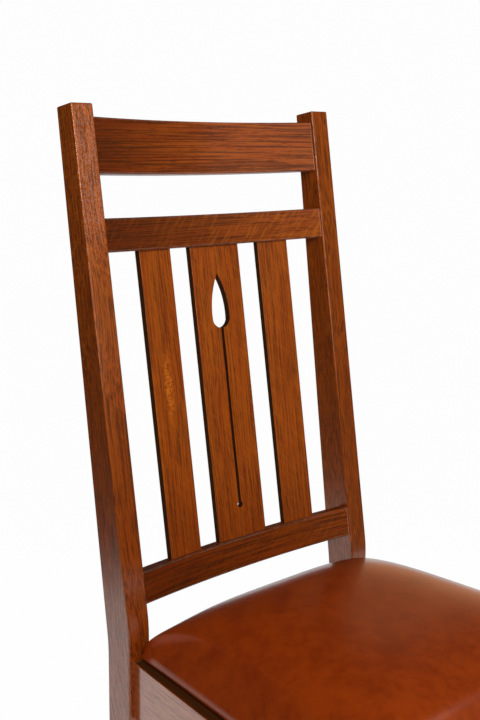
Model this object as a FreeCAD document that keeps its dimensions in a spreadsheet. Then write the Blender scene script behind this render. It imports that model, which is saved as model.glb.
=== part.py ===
# Mission dining chair: a stained oak frame with a raked, slatted back and a domed leather slip seat.
# Lengths are millimetres and angles degrees. The origin is on the floor under the middle of the
# chair's box, +X to the viewer's right, the seat facing -Y, +Z up.
import FreeCAD, Part
import math
import os
import re
import Sketcher

# Driving dimensions
SIZES = {
    # Overall and back posts
    "overall_height": 1066,        # floor to the tops of the back posts
    "seat_rail_top": 392,          # floor to the tops of the seat rails
    "post_spacing": 400,           # between the centres of the back posts
    "post_width": 31,
    "leg_depth": 46.5,             # front to back of a post below the bend
    "post_top_depth": 32,          # front to back of a post at its top
    "rake": 9.8,                   # lean of the back
    "front_bend_rise": 44,         # seat rail top to the bend of the post's front face
    "back_bend_rise": 10,          # seat rail top to the bend of the post's back face
    "bend_radius": 180,
    "post_easing": 2,              # rounding of the posts' edges, bevel of the legs' edges
    # Back rails, measured up the rake
    "crest_drop": 15,              # post top to crest top
    "crest_height": 68,
    "crest_thickness": 19,
    "crest_setback": 4.3,          # post front to crest front, at the posts
    "crest_bow": 17,
    "hand_gap": 54,                # crest to upper back rail
    "back_rail_height": 41,
    "back_rail_thickness": 19,
    "back_rail_setback": 3,
    "back_rail_bow": 14,
    "lower_rail_rise": 24.6,       # bend of the posts to the lower back rail
    "rail_easing": 1.5,            # bevel of the back rails' edges, rounding of the other rails' edges
    "back_tenon_length": 18,
    "back_tenon_thickness": 9,
    "back_tenon_shoulder": 6,
    # Slats
    "slat_thickness": 9,
    "slat_recess": 6.5,            # rail front to slat front
    "side_slat_width": 52.5,
    "center_slat_width": 83.5,
    "side_slat_offset": 102,       # middle of the back to middle of a side slat
    "slat_easing": 1,
    "slat_tenon_length": 14,
    "slat_tenon_thickness": 6,
    "slat_tenon_shoulder": 5,
    # Cut-out of the centre slat
    "bud_apex_drop": 37.5,         # upper back rail to the point of the bud
    "bud_length": 73,
    "bud_width": 29,
    "bud_flank_radius": 110,
    "bud_base_rise": 10,           # foot of the bud to its widest corners
    "bud_base_radius": 15,
    "stem_width": 4.5,
    "stem_hole_radius": 4.4,
    "stem_hole_rise": 43.5,        # lower back rail to the centre of the stem's hole
    # Seat frame
    "seat_depth": 425,             # front of the front legs to the front of the back posts
    "side_splay": 5.1,             # each side rail's turn from straight ahead
    "side_rail_inset": 7.8,        # post or leg side to the side rail's outer face
    "front_leg_size": 42,
    "front_rail_inset": 7,
    "rear_rail_setback": 2,
    "seat_rail_height": 76,
    "seat_rail_thickness": 22,
    "seat_tenon_length": 15,
    "seat_tenon_thickness": 9.5,
    "seat_tenon_shoulder": 9,
    "seat_tenon_height": 26,       # upper tenons on the side rails, lower ones on the cross rails
    # Stretchers
    "stretcher_height": 34,
    "stretcher_thickness": 18,
    "side_stretcher_level": 110,   # floor to the lower edge
    "cross_stretcher_level": 172,
    "stretcher_tenon_length": 14,
    "stretcher_tenon_thickness": 8,
    "stretcher_tenon_height": 24,
    # Clearances in the glued joints
    "glue_gap": 0.2,
    "tenon_end_gap": 1,
    # Corner blocks and the screws through them
    "block_reach": 70,
    "block_clip": 14,
    "block_thickness": 25,
    "screw_radius": 2.2,
    "screw_head_radius": 4.2,
    "screw_head_height": 2.6,
    "seat_screw_length": 32,
    "seat_screw_reach": 24,        # corner to a seat screw, along both rails
    "screw_gap": 0.1,
    "screw_head_gap": 0.6,
    # Slip seat
    "seat_inset": 10,              # side rail's outer face to the leather
    "seat_front_inset": 10,        # front rail's outer face to the leather
    "seat_post_gap": 1,            # back posts to the leather
    "seat_corner": 15,
    "side_draw_angle": 0.9,        # turn by which each half of a side is drawn in between the corners
    "corner_growth": 0.2,          # corner radius gained per millimetre of inset
    "seat_crown": 82,              # rail top to the highest leather
    "dome_reach": 140,             # edge to where the dome is level
    "dome_power": 2.4,             # how soon the dome levels off
    "dome_root": 2,                # how steep its sides stand
    "lip_height": 5,
    "lip_tuck": 2,
    "leather_thickness": 1.5,
    "leather_turn": 30,            # leather folded under the board
    "board_thickness": 12,
    "soft_gap": 0.3,
    "dust_cover_thickness": 0.8,
    "dust_cover_margin": 2,
    # Floor glides
    "glide_radius": 10,
    "glide_height": 4,
    "glide_chamfer": 1,
    "glide_nail_radius": 1.5,
    "glide_nail_length": 14,
}

# Places worked out from the driving dimensions
LAYOUT = {
    "bend_z": "seat_rail_top + front_bend_rise",
    "post_rise": "(overall_height - bend_z - post_easing * (1 - sin(rake))) / cos(rake) + post_easing",
    "crest_back": "crest_setback + crest_bow + crest_thickness",
    "post_reach": "post_rise * sin(rake) + post_top_depth * cos(rake)"
                  " - post_easing * (sin(rake) + cos(rake) - 1)",
    "crest_reach": "(post_rise - crest_drop - rail_easing) * sin(rake) + crest_back * cos(rake)",
    "back_reach": "max(post_reach; crest_reach)",
    "front_y": "-(seat_depth + back_reach) / 2",
    "post_front": "front_y + seat_depth",
    "post_back": "post_front + leg_depth",
    "back_bend_z": "seat_rail_top + back_bend_rise",
    "top_y": "post_front + post_rise * sin(rake)",
    "top_z": "bend_z + post_rise * cos(rake)",
    "top_back_y": "top_y + post_top_depth * cos(rake)",
    "top_back_z": "top_z - post_top_depth * sin(rake)",
    "back_slope": "atan((top_back_y - post_back) / (top_back_z - back_bend_z))",
    "front_tangent": "bend_radius * tan(rake / 2)",
    "back_tangent": "bend_radius * tan(back_slope / 2)",
    "post_outer": "(post_spacing + post_width) / 2",
    "post_inner": "(post_spacing - post_width) / 2",
    "crest_low": "post_rise - crest_drop - crest_height",
    "upper_low": "crest_low - hand_gap - back_rail_height",
    "lower_top": "lower_rail_rise + back_rail_height",
    "slat_length": "upper_low - lower_top",
    "crest_radius": "(post_inner ^ 2 + crest_bow ^ 2) / (2 * crest_bow)",
    "rail_radius": "(post_inner ^ 2 + back_rail_bow ^ 2) / (2 * back_rail_bow)",
    "slat_turn": "asin(side_slat_offset / rail_radius)",
    "slat_drop": "rail_radius - sqrt(rail_radius ^ 2 - side_slat_offset ^ 2)",
    "slat_front": "back_rail_setback + back_rail_bow + slat_recess",
    "bud_apex": "upper_low - bud_apex_drop",
    "bud_foot": "bud_apex - bud_length",
    "stem_hole": "lower_top + stem_hole_rise",
    "stem_meet": "stem_hole + sqrt(stem_hole_radius ^ 2 - stem_width ^ 2 / 4)",
    "seat_rail_low": "seat_rail_top - seat_rail_height",
    "cross_tenon_low": "seat_rail_low + seat_tenon_shoulder",
    "side_tenon_low": "seat_rail_top - seat_tenon_shoulder - seat_tenon_height",
    "rail_outer": "post_outer - side_rail_inset",
    "rail_inner": "rail_outer - seat_rail_thickness / cos(side_splay)",
    "side_run": "seat_depth - front_leg_size",
    "leg_outer": "rail_outer + side_run * tan(side_splay) + side_rail_inset",
    "leg_inner": "leg_outer - front_leg_size",
    "leg_back": "front_y + front_leg_size",
    "front_rail_back": "front_y + front_rail_inset + seat_rail_thickness",
    "rear_rail_front": "post_front + rear_rail_setback",
    "side_stretcher_tenon_low": "side_stretcher_level + (stretcher_height - stretcher_tenon_height) / 2",
    "cross_stretcher_tenon_low": "cross_stretcher_level + (stretcher_height - stretcher_tenon_height) / 2",
    "seat_rear": "post_front - seat_post_gap",
    "seat_front": "front_y + front_rail_inset + seat_front_inset",
    "seat_half": "rail_outer - seat_inset / cos(side_splay)",
    "board_low": "seat_rail_top + leather_thickness",
    "board_top": "board_low + board_thickness",
    "block_low": "seat_rail_top - block_thickness",
}

DOME_STEPS = 8          # dome sections of the cushion above its lip
DOME_SPREAD = 1.8       # crowds the sections towards the edge
CORNER_SHARE = 0.7      # most of a dome section's half width or depth that its corner may round
CORNER_STEPS = 4        # straight lines round each of the cushion's corners

doc = FreeCAD.newDocument("mission_dining_chair")
nodes = []


def formula(text, own_sheet=False):
    """An expression in which the names of sizes and places are tied to their sheets."""
    def qualify(match):
        word = match.group()
        if word in SIZES:
            return "Sizes." + word
        if word in LAYOUT and not own_sheet:
            return "Layout." + word
        return word
    return re.sub(r"[a-z][a-z0-9_]*", qualify, str(text))


def make_sheet(name, rows):
    sheet = doc.addObject("Spreadsheet::Sheet", name)
    for number, (alias, content) in enumerate(rows, 1):
        sheet.set(f"A{number}", alias)
        sheet.set(f"B{number}", content)
        sheet.setAlias(f"B{number}", alias)
    doc.recompute()
    return sheet


make_sheet("Sizes", [(alias, str(size)) for alias, size in SIZES.items()])
layout = make_sheet("Layout", [(alias, "=" + formula(text, own_sheet=True)) for alias, text in LAYOUT.items()])


def value(text):
    """The present value of a formula."""
    result = layout.evalExpression(formula(text))
    return float(getattr(result, "Value", result))


def bind(obj, prop, text):
    obj.setExpression(prop, formula(text))


def place(obj, x, y, z, *turns):
    """Ties an object's place to formulas; turns are pairs of an axis and an angle, outermost first."""
    spins = [f"rotation(vector({axis}); {angle})" for axis, angle in turns]
    rotation = " * ".join(spins) or "rotation(vector(0; 0; 1); 0)"
    bind(obj, "Placement", f"placement(vector({x}; {y}; {z}); {rotation})")
    return obj


ABOUT_X = "1; 0; 0"
ABOUT_Y = "0; 1; 0"
ABOUT_Z = "0; 0; 1"


def on_rake(obj):
    """Lays an object's own axes on the posts' raked front faces, starting at the bend."""
    return place(obj, "0", "post_front", "bend_z", (ABOUT_X, "-rake"))


def on_side(obj):
    """Lays an object's own axes on the left side rail's outer face: X inward, -Y to the front."""
    return place(obj, "-rail_outer", "post_front", "0", (ABOUT_Z, "-side_splay"))


def make_body(name):
    return doc.addObject("PartDesign::Body", name)


def make_sketch(body, plane, offset="0"):
    sketch = body.newObject("Sketcher::SketchObject", "Sketch")
    base = next(feature for feature in body.Origin.OriginFeatures if feature.Role == plane)
    sketch.AttachmentSupport = [(base, "")]
    sketch.MapMode = "FlatFace"
    bind(sketch, "AttachmentOffset.Base.z", offset)
    return sketch


def arc_between(start, end, radius, turn, major):
    """A circle's arc from start to end that turns left (1) or right (-1)."""
    first, last = (start, end) if turn > 0 else (end, start)
    chord = last - first
    reach = math.sqrt(max(radius ** 2 - chord.Length ** 2 / 4, 0)) * (-1 if major else 1)
    left = FreeCAD.Vector(-chord.y, chord.x, 0).normalize()
    center = (first + last) * 0.5 + left * reach
    angles = [math.atan2(point.y - center.y, point.x - center.x) for point in (first, last)]
    circle = Part.Circle(center, FreeCAD.Vector(0, 0, 1), radius)
    return Part.ArcOfCircle(circle, angles[0], angles[1])


def draw(sketch, points, arcs=None):
    """Draws a closed outline through points given as formulas.

    arcs maps the number of a side to (radius formula, turn) or (radius formula, turn, True) for an
    arc of more than a half circle. Every corner and radius is a constraint tied to its formula.
    """
    arcs = arcs or {}
    first = sketch.GeometryCount
    count = len(points)
    corners = [FreeCAD.Vector(value(x), value(y), 0) for x, y in points]
    ends = []
    for side in range(count):
        start, end = corners[side], corners[(side + 1) % count]
        if side in arcs:
            radius, turn = arcs[side][0], arcs[side][1]
            sketch.addGeometry(arc_between(start, end, value(radius), turn, len(arcs[side]) > 2), False)
            ends.append((1, 2) if turn > 0 else (2, 1))
        else:
            sketch.addGeometry(Part.LineSegment(start, end), False)
            ends.append((1, 2))
    for side in range(count):
        follower = (side + 1) % count
        sketch.addConstraint(Sketcher.Constraint(
            "Coincident", first + side, ends[side][1], first + follower, ends[follower][0]))
    for side, (x, y) in enumerate(points):
        for kind, text, start in (("DistanceX", x, corners[side].x), ("DistanceY", y, corners[side].y)):
            tie(sketch, Sketcher.Constraint(kind, -1, 1, first + side, ends[side][0], start), text)
    for side, arc in arcs.items():
        tie(sketch, Sketcher.Constraint("Radius", first + side, value(arc[0])), arc[0])
    return sketch


def tie(sketch, constraint, text):
    number = sketch.addConstraint(constraint)
    bind(sketch, f"Constraints[{number}]", text)


def rectangle(left, front, right, back):
    return [(left, front), (right, front), (right, back), (left, back)]


def pad(body, sketch, length, backwards=False):
    feature = body.newObject("PartDesign::Pad", "Pad")
    feature.Profile = sketch
    feature.Reversed = backwards
    bind(feature, "Length", length)
    doc.recompute()
    return feature


def ease(body, base, size, wanted, bevel=False):
    """Rounds or bevels the edges of a body's base feature that are wanted."""
    names = [f"Edge{number}" for number, edge in enumerate(base.Shape.Edges, 1) if wanted(edge)]
    easing = body.newObject("PartDesign::Chamfer" if bevel else "PartDesign::Fillet", "Easing")
    easing.Base = (base, names)
    bind(easing, "Size" if bevel else "Radius", size)
    doc.recompute()
    return easing


def runs_along(axis, share):
    """A test for edges that cover most of their piece along an axis."""
    def test(edge):
        return getattr(edge.BoundBox, axis + "Length") > share
    return test


def block(name, length, width, height):
    """A box for a mortise, with its sizes tied to formulas."""
    box = doc.addObject("Part::Box", name)
    bind(box, "Length", length)
    bind(box, "Width", width)
    bind(box, "Height", height)
    return box


def raked_block(name, x, y, z, length, width, height):
    box = block(name, length, width, height)
    return place(box, x, f"post_front + ({y}) * cos(rake) + ({z}) * sin(rake)",
                 f"bend_z - ({y}) * sin(rake) + ({z}) * cos(rake)", (ABOUT_X, "-rake"))


def splayed_block(name, x, y, z, length, width, height):
    box = block(name, length, width, height)
    return place(box, f"-rail_outer + ({x}) * cos(side_splay) + ({y}) * sin(side_splay)",
                 f"post_front - ({x}) * sin(side_splay) + ({y}) * cos(side_splay)", z,
                 (ABOUT_Z, "-side_splay"))


def straight_block(name, x, y, z, length, width, height):
    return place(block(name, length, width, height), x, y, z)


def keep(obj, label):
    """Names a finished sub-part."""
    obj.Label = label
    nodes.append(obj)
    return obj


def cut(base, tools, label):
    """A finished sub-part with its mortises, holes or openings taken out of its blank."""
    group = doc.addObject("Part::Compound", label + "_cuts")
    group.Links = tools
    piece = doc.addObject("Part::Cut", label + "_cut")
    piece.Base = base
    piece.Tool = group
    return keep(piece, label)


def mirrored(source, label=None):
    """The right-hand twin of a left-hand piece."""
    twin = doc.addObject("Part::Mirroring", (label or source.Name) + "_twin")
    twin.Source = source
    twin.Normal = FreeCAD.Vector(1, 0, 0)
    return keep(twin, label) if label else twin


def group_of(label, pieces):
    group = doc.addObject("Part::Compound", label + "_group")
    group.Links = pieces
    return keep(group, label)


def mortise(maker, name, x, y, z, length, width, height, end):
    """A mortise for a tenon of the given place and size: the glue gap all round and room at its end.

    end is the axis along which the tenon enters, X or Y, with the sign of its direction.
    """
    gaps = {"X": ["0", "glue_gap", "glue_gap"], "Y": ["glue_gap", "0", "glue_gap"]}[end[1]]
    start = [f"({at}) - {gap}" for at, gap in zip((x, y, z), gaps)]
    size = [f"({by}) + 2 * {gap}" for by, gap in zip((length, width, height), gaps)]
    axis = "XY".index(end[1])
    size[axis] += " + tenon_end_gap"
    if end[0] == "-":
        start[axis] += " - tenon_end_gap"
    return maker(name, *start, *size)


def bowed_rail(label, low, height, thickness, setback, radius, tools):
    """A back rail bowed in plan, its long edges bevelled, and tenoned into the posts."""
    body = on_rake(make_body(label + "_blank"))
    far = f"{setback} + {thickness}"
    plan = draw(make_sketch(body, "XY_Plane", low), rectangle("-post_inner", setback, "post_inner", far),
                {0: (radius, -1), 2: (radius, 1)})
    base = pad(body, plan, height)
    ease(body, base, "rail_easing", runs_along("X", value("post_inner")), bevel=True)
    front = f"{setback} + ({thickness} - back_tenon_thickness) / 2"
    tenons = make_sketch(body, "XY_Plane", f"{low} + back_tenon_shoulder")
    for side in ("-1", "1"):
        inner, outer = f"{side} * post_inner", f"{side} * (post_inner + back_tenon_length)"
        draw(tenons, rectangle(inner, front, outer, f"{front} + back_tenon_thickness"))
    pad(body, tenons, f"{height} - 2 * back_tenon_shoulder")
    if tools:
        return cut(body, tools, label)
    return keep(body, label)


def back_mortise(name, low, height, thickness, setback):
    """The left post's mortise for a back rail's tenon."""
    return mortise(raked_block, name, "-post_inner - back_tenon_length",
                   f"{setback} + ({thickness} - back_tenon_thickness) / 2", f"{low} + back_tenon_shoulder",
                   "back_tenon_length", "back_tenon_thickness", f"{height} - 2 * back_tenon_shoulder", "-X")


def turned_rectangle(middle_x, middle_y, width, depth, turn):
    """A rectangle turned about its own middle, as formulas."""
    corners = []
    for along, across in ((-1, -1), (1, -1), (1, 1), (-1, 1)):
        corners.append((
            f"({middle_x}) + ({along}) * ({width}) / 2 * cos({turn}) - ({across}) * ({depth}) / 2 * sin({turn})",
            f"({middle_y}) + ({along}) * ({width}) / 2 * sin({turn}) + ({across}) * ({depth}) / 2 * cos({turn})"))
    return corners


def slat_tenons(body, middle, width, gap, end_gap):
    """The stick through a slat that makes its two tenons or, with gaps, the two mortises for them."""
    thickness = f"slat_tenon_thickness + 2 * {gap}"
    stick = draw(make_sketch(body, "XY_Plane", f"lower_top - slat_tenon_length - {end_gap}"),
                 turned_rectangle(*middle[:2], f"{width} - 2 * slat_tenon_shoulder + 2 * {gap}",
                                  thickness, middle[2]))
    pad(body, stick, f"slat_length + 2 * slat_tenon_length + 2 * {end_gap}")
    return body


def slat_places():
    """The middle of the left side slat's and the centre slat's sections, and their turn."""
    depth = "slat_front + slat_thickness / 2"
    return ("-side_slat_offset", f"{depth} - slat_drop", "slat_turn"), ("0", depth, "0")


def slat_mortises():
    left, center = slat_places()
    sticks = []
    for name, middle, width in (("left", left, "side_slat_width"), ("center", center, "center_slat_width")):
        body = on_rake(make_body(name + "_slat_mortises"))
        sticks.append(slat_tenons(body, middle, width, "glue_gap", "tenon_end_gap"))
    return sticks + [mirrored(sticks[0])]


def make_back_posts():
    """The bent back posts: upright to just above the seat, then raked and tapering to the top."""
    body = make_body("back_post_blank")
    side = draw(make_sketch(body, "YZ_Plane", "-post_outer"), [
        ("post_front", "glide_height"),
        ("post_front", "bend_z - front_tangent"),
        ("post_front + front_tangent * sin(rake)", "bend_z + front_tangent * cos(rake)"),
        ("top_y", "top_z"),
        ("top_back_y", "top_back_z"),
        ("post_back + back_tangent * sin(back_slope)", "back_bend_z + back_tangent * cos(back_slope)"),
        ("post_back", "back_bend_z - back_tangent"),
        ("post_back", "glide_height"),
    ], {1: ("bend_radius", -1), 5: ("bend_radius", 1)})
    base = pad(body, side, "post_width")
    foot = value("glide_height")
    top = value("top_back_z") - foot / 2

    def eased(edge):
        box = edge.BoundBox
        return (box.XLength < foot and box.ZMax > foot + 1) or box.ZMin > top

    ease(body, base, "post_easing", eased)
    tools = [
        back_mortise("crest_mortise", "crest_low", "crest_height", "crest_thickness", "crest_setback"),
        back_mortise("upper_mortise", "upper_low", "back_rail_height", "back_rail_thickness",
                     "back_rail_setback"),
        back_mortise("lower_mortise", "lower_rail_rise", "back_rail_height", "back_rail_thickness",
                     "back_rail_setback"),
        mortise(splayed_block, "rear_side_rail_mortise", "(seat_rail_thickness - seat_tenon_thickness) / 2",
                "0", "side_tenon_low", "seat_tenon_thickness", "seat_tenon_length", "seat_tenon_height", "+Y"),
        mortise(straight_block, "rear_rail_mortise", "-post_inner - seat_tenon_length",
                "rear_rail_front + (seat_rail_thickness - seat_tenon_thickness) / 2", "cross_tenon_low",
                "seat_tenon_length", "seat_tenon_thickness", "seat_tenon_height", "-X"),
        mortise(splayed_block, "rear_side_stretcher_mortise",
                "(seat_rail_thickness - stretcher_tenon_thickness) / 2", "0",
                "side_stretcher_tenon_low", "stretcher_tenon_thickness", "stretcher_tenon_length",
                "stretcher_tenon_height", "+Y"),
        mortise(straight_block, "rear_stretcher_mortise", "-post_inner - stretcher_tenon_length",
                "post_front + (leg_depth - stretcher_tenon_thickness) / 2",
                "cross_stretcher_tenon_low", "stretcher_tenon_length", "stretcher_tenon_thickness",
                "stretcher_tenon_height", "-X"),
        nail_hole("rear_nail_hole", "-post_spacing / 2", "post_front + leg_depth / 2"),
    ]
    left = cut(body, tools, "left_back_post")
    mirrored(left, "right_back_post")


def make_front_legs():
    """The square front legs, level with the seat rails."""
    body = make_body("front_leg_blank")
    plan = draw(make_sketch(body, "XY_Plane", "glide_height"),
                rectangle("-leg_outer", "front_y", "-leg_inner", "leg_back"))
    base = pad(body, plan, "seat_rail_top - glide_height")
    foot = value("glide_height")
    ease(body, base, "post_easing", lambda edge: edge.BoundBox.ZMax > foot + 1, bevel=True)
    run = "-side_run / cos(side_splay)"
    tools = [
        mortise(splayed_block, "front_side_rail_mortise", "(seat_rail_thickness - seat_tenon_thickness) / 2",
                f"{run} - seat_tenon_length", "side_tenon_low", "seat_tenon_thickness",
                "seat_tenon_length + seat_rail_thickness * tan(side_splay)", "seat_tenon_height", "-Y"),
        mortise(straight_block, "front_rail_mortise", "-leg_inner - seat_tenon_length",
                "front_y + front_rail_inset + (seat_rail_thickness - seat_tenon_thickness) / 2",
                "cross_tenon_low", "seat_tenon_length", "seat_tenon_thickness", "seat_tenon_height", "-X"),
        mortise(splayed_block, "front_side_stretcher_mortise",
                "(seat_rail_thickness - stretcher_tenon_thickness) / 2", f"{run} - stretcher_tenon_length",
                "side_stretcher_tenon_low", "stretcher_tenon_thickness",
                "stretcher_tenon_length + seat_rail_thickness * tan(side_splay)",
                "stretcher_tenon_height", "-Y"),
        mortise(straight_block, "front_stretcher_mortise", "-leg_inner - stretcher_tenon_length",
                "front_y + (front_leg_size - stretcher_tenon_thickness) / 2",
                "cross_stretcher_tenon_low", "stretcher_tenon_length", "stretcher_tenon_thickness",
                "stretcher_tenon_height", "-X"),
        nail_hole("front_nail_hole", "-(leg_outer + leg_inner) / 2", "front_y + front_leg_size / 2"),
    ]
    left = cut(body, tools, "left_front_leg")
    mirrored(left, "right_front_leg")


def make_back():
    """The three bowed back rails and the slats between the lower two."""
    bowed_rail("crest_rail", "crest_low", "crest_height", "crest_thickness", "crest_setback",
               "crest_radius", [])
    sticks = slat_mortises()
    for label, low in (("upper_back_rail", "upper_low"), ("lower_back_rail", "lower_rail_rise")):
        bowed_rail(label, low, "back_rail_height", "back_rail_thickness", "back_rail_setback",
                   "rail_radius", sticks)
    make_side_slats()
    make_center_slat()


def make_side_slats():
    middle = slat_places()[0]
    body = on_rake(make_body("side_slat"))
    section = draw(make_sketch(body, "XY_Plane", "lower_top"),
                   turned_rectangle(*middle[:2], "side_slat_width", "slat_thickness", middle[2]))
    base = pad(body, section, "slat_length")
    ease(body, base, "slat_easing", runs_along("Z", value("slat_length") / 2))
    slat_tenons(body, middle, "side_slat_width", "0", "0")
    keep(body, "left_slat")
    mirrored(body, "right_slat")


def make_center_slat():
    """The wide slat with its bud-and-stem cut-out: a bud over a sawn stem that ends in a bored hole."""
    body = on_rake(make_body("center_slat"))
    face = make_sketch(body, "XZ_Plane", "-slat_front")
    half = "center_slat_width / 2"
    draw(face, rectangle(f"-{half}", "lower_top", half, "upper_low"))
    bud, stem = "bud_width / 2", "stem_width / 2"
    draw(face, [
        ("0", "bud_apex"),
        (f"-{bud}", "bud_foot + bud_base_rise"),
        (f"-{stem}", "bud_foot"),
        (f"-{stem}", "stem_meet"),
        (stem, "stem_meet"),
        (stem, "bud_foot"),
        (bud, "bud_foot + bud_base_rise"),
    ], {0: ("bud_flank_radius", 1), 1: ("bud_base_radius", 1), 3: ("stem_hole_radius", 1, True),
        5: ("bud_base_radius", 1), 6: ("bud_flank_radius", 1)})
    base = pad(body, face, "slat_thickness", backwards=True)
    limit = value("center_slat_width") / 2 - 1

    def outer(edge):
        box = edge.BoundBox
        return box.ZLength > value("slat_length") / 2 and max(abs(box.XMin), abs(box.XMax)) > limit

    ease(body, base, "slat_easing", outer)
    tenons = make_sketch(body, "XY_Plane", "lower_top - slat_tenon_length")
    wide = f"{half} - slat_tenon_shoulder"
    front = "slat_front + (slat_thickness - slat_tenon_thickness) / 2"
    draw(tenons, rectangle(f"-({wide})", front, wide, f"{front} + slat_tenon_thickness"))
    pad(body, tenons, "slat_tenon_length")
    tops = make_sketch(body, "XY_Plane", "upper_low")
    draw(tops, rectangle(f"-({wide})", front, wide, f"{front} + slat_tenon_thickness"))
    pad(body, tops, "slat_tenon_length")
    keep(body, "center_slat")


def cross_rail(label, half, front, low, section, tenon, tenon_low):
    """A straight rail across the chair, tenoned at both ends; section and tenon name their sizes."""
    thickness, height = f"{section}_thickness", f"{section}_height"
    body = make_body(label)
    base = pad(body, draw(make_sketch(body, "XY_Plane", low),
                          rectangle(f"-{half}", front, half, f"{front} + {thickness}")), height)
    ease(body, base, "rail_easing", runs_along("X", value(half)))
    near = f"{front} + ({thickness} - {tenon}_tenon_thickness) / 2"
    tongues = make_sketch(body, "XY_Plane", tenon_low)
    for side in ("-1", "1"):
        inner, outer = f"{side} * {half}", f"{side} * ({half} + {tenon}_tenon_length)"
        draw(tongues, rectangle(inner, near, outer, f"{near} + {tenon}_tenon_thickness"))
    pad(body, tongues, f"{tenon}_tenon_height")
    keep(body, label)


def side_rail(label, twin, left, low, section, tenon, tenon_low):
    """A splayed rail from the back post to the front leg, its shoulders cut square to the chair."""
    thickness, height = f"{section}_thickness", f"{section}_height"
    body = on_side(make_body(label))
    right = f"{left} + {thickness}"
    run = "side_run / cos(side_splay)"
    plan = [(edge, f"({edge}) * tan(side_splay) - {back}") for edge, back in (
        (left, run), (right, run), (right, "0"), (left, "0"))]
    base = pad(body, draw(make_sketch(body, "XY_Plane", low), plan), height)
    ease(body, base, "rail_easing", runs_along("Y", value(run) / 2))
    near = f"{left} + ({thickness} - {tenon}_tenon_thickness) / 2"
    far = f"{near} + {tenon}_tenon_thickness"
    lean = f"({far}) * tan(side_splay)"
    tongues = make_sketch(body, "XY_Plane", tenon_low)
    draw(tongues, [(near, f"({near}) * tan(side_splay)"), (near, f"{tenon}_tenon_length"),
                   (far, f"{tenon}_tenon_length"), (far, lean)])
    draw(tongues, [(near, f"({near}) * tan(side_splay) - {run}"), (near, f"-{run} - {tenon}_tenon_length"),
                   (far, f"-{run} - {tenon}_tenon_length"), (far, f"{lean} - {run}")])
    pad(body, tongues, f"{tenon}_tenon_height")
    keep(body, label)
    mirrored(body, twin)


def screw(name, length, *where):
    """A wood screw with a flat head, its shank along its own +Z, and the hole that it needs."""
    body = make_body(name)
    profile = draw(make_sketch(body, "XZ_Plane"), [
        ("0", "-screw_head_height"),
        ("screw_head_radius", "-screw_head_height"),
        ("screw_head_radius", "0"),
        ("screw_radius", "0"),
        ("screw_radius", f"{length} - 2 * screw_radius"),
        ("0", length),
    ])
    turned = body.newObject("PartDesign::Revolution", "Turned")
    turned.Profile = profile
    turned.ReferenceAxis = (profile, ["V_Axis"])
    turned.Angle = 360
    doc.recompute()
    hole = make_body(name + "_hole")
    bore = draw(make_sketch(hole, "XZ_Plane"), [
        ("0", "-block_reach"),
        ("screw_head_radius + screw_head_gap", "-block_reach"),
        ("screw_head_radius + screw_head_gap", "0"),
        ("screw_radius + screw_gap", "0"),
        ("screw_radius + screw_gap", f"{length} + tenon_end_gap"),
        ("0", f"{length} + tenon_end_gap"),
    ])
    bored = hole.newObject("PartDesign::Revolution", "Bored")
    bored.Profile = bore
    bored.ReferenceAxis = (bore, ["V_Axis"])
    bored.Angle = 360
    doc.recompute()
    place(body, *where)
    place(hole, *where)
    return body, hole


def corner_block(label, corner_x, face, near_run, far_run):
    """A clipped triangular block in a corner of the seat frame."""
    body = make_body(label + "_blank")
    plan = [
        (f"-{corner_x} + block_clip", face),
        (f"-{corner_x} + block_reach", face),
        (f"-(rail_inner + ({far_run}) * tan(side_splay))", f"post_front - ({far_run})"),
        (f"-(rail_inner + ({near_run}) * tan(side_splay))", f"post_front - ({near_run})"),
    ]
    pad(body, draw(make_sketch(body, "XY_Plane", "block_low"), plan), "block_thickness")
    return body


def make_seat_frame():
    """Seat rails, stretchers, corner blocks and the screws that hold the slip seat."""
    screws, holes = [], []
    corners = {
        "rear": ("post_inner", "rear_rail_front", "block_clip", "block_reach", "seat_screw_reach / 2"),
        "front": ("leg_inner", "front_rail_back", "side_run - block_clip", "side_run - block_reach",
                  "side_run - seat_screw_reach / 2"),
    }
    for corner, (corner_x, face, near_run, far_run, screw_run) in corners.items():
        body, hole = screw(corner + "_seat_screw", "seat_screw_length", f"-{corner_x} + seat_screw_reach",
                           f"post_front - ({screw_run})", "block_low")
        screws.append(body)
        holes.append(hole)
        blank = corner_block(f"{corner}_left_corner_block", corner_x, face, near_run, far_run)
        piece = cut(blank, [hole], f"{corner}_left_corner_block")
        mirrored(piece, f"{corner}_right_corner_block")
    group_of("seat_screws", screws + [mirrored(part) for part in screws])

    cross_rail("rear_seat_rail", "post_inner", "rear_rail_front", "seat_rail_low", "seat_rail", "seat",
               "cross_tenon_low")
    cross_rail("front_seat_rail", "leg_inner", "front_y + front_rail_inset", "seat_rail_low", "seat_rail",
               "seat", "cross_tenon_low")
    side_rail("left_seat_rail", "right_seat_rail", "0", "seat_rail_low", "seat_rail", "seat",
              "side_tenon_low")

    for label, half, front in (
            ("front_stretcher", "leg_inner", "front_y + (front_leg_size - stretcher_thickness) / 2"),
            ("rear_stretcher", "post_inner", "post_front + (leg_depth - stretcher_thickness) / 2")):
        cross_rail(label, half, front, "cross_stretcher_level", "stretcher", "stretcher",
                   "cross_stretcher_tenon_low")
    side_rail("left_side_stretcher", "right_side_stretcher", "(seat_rail_thickness - stretcher_thickness) / 2",
              "side_stretcher_level", "stretcher", "stretcher", "side_stretcher_tenon_low")
    return holes


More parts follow.
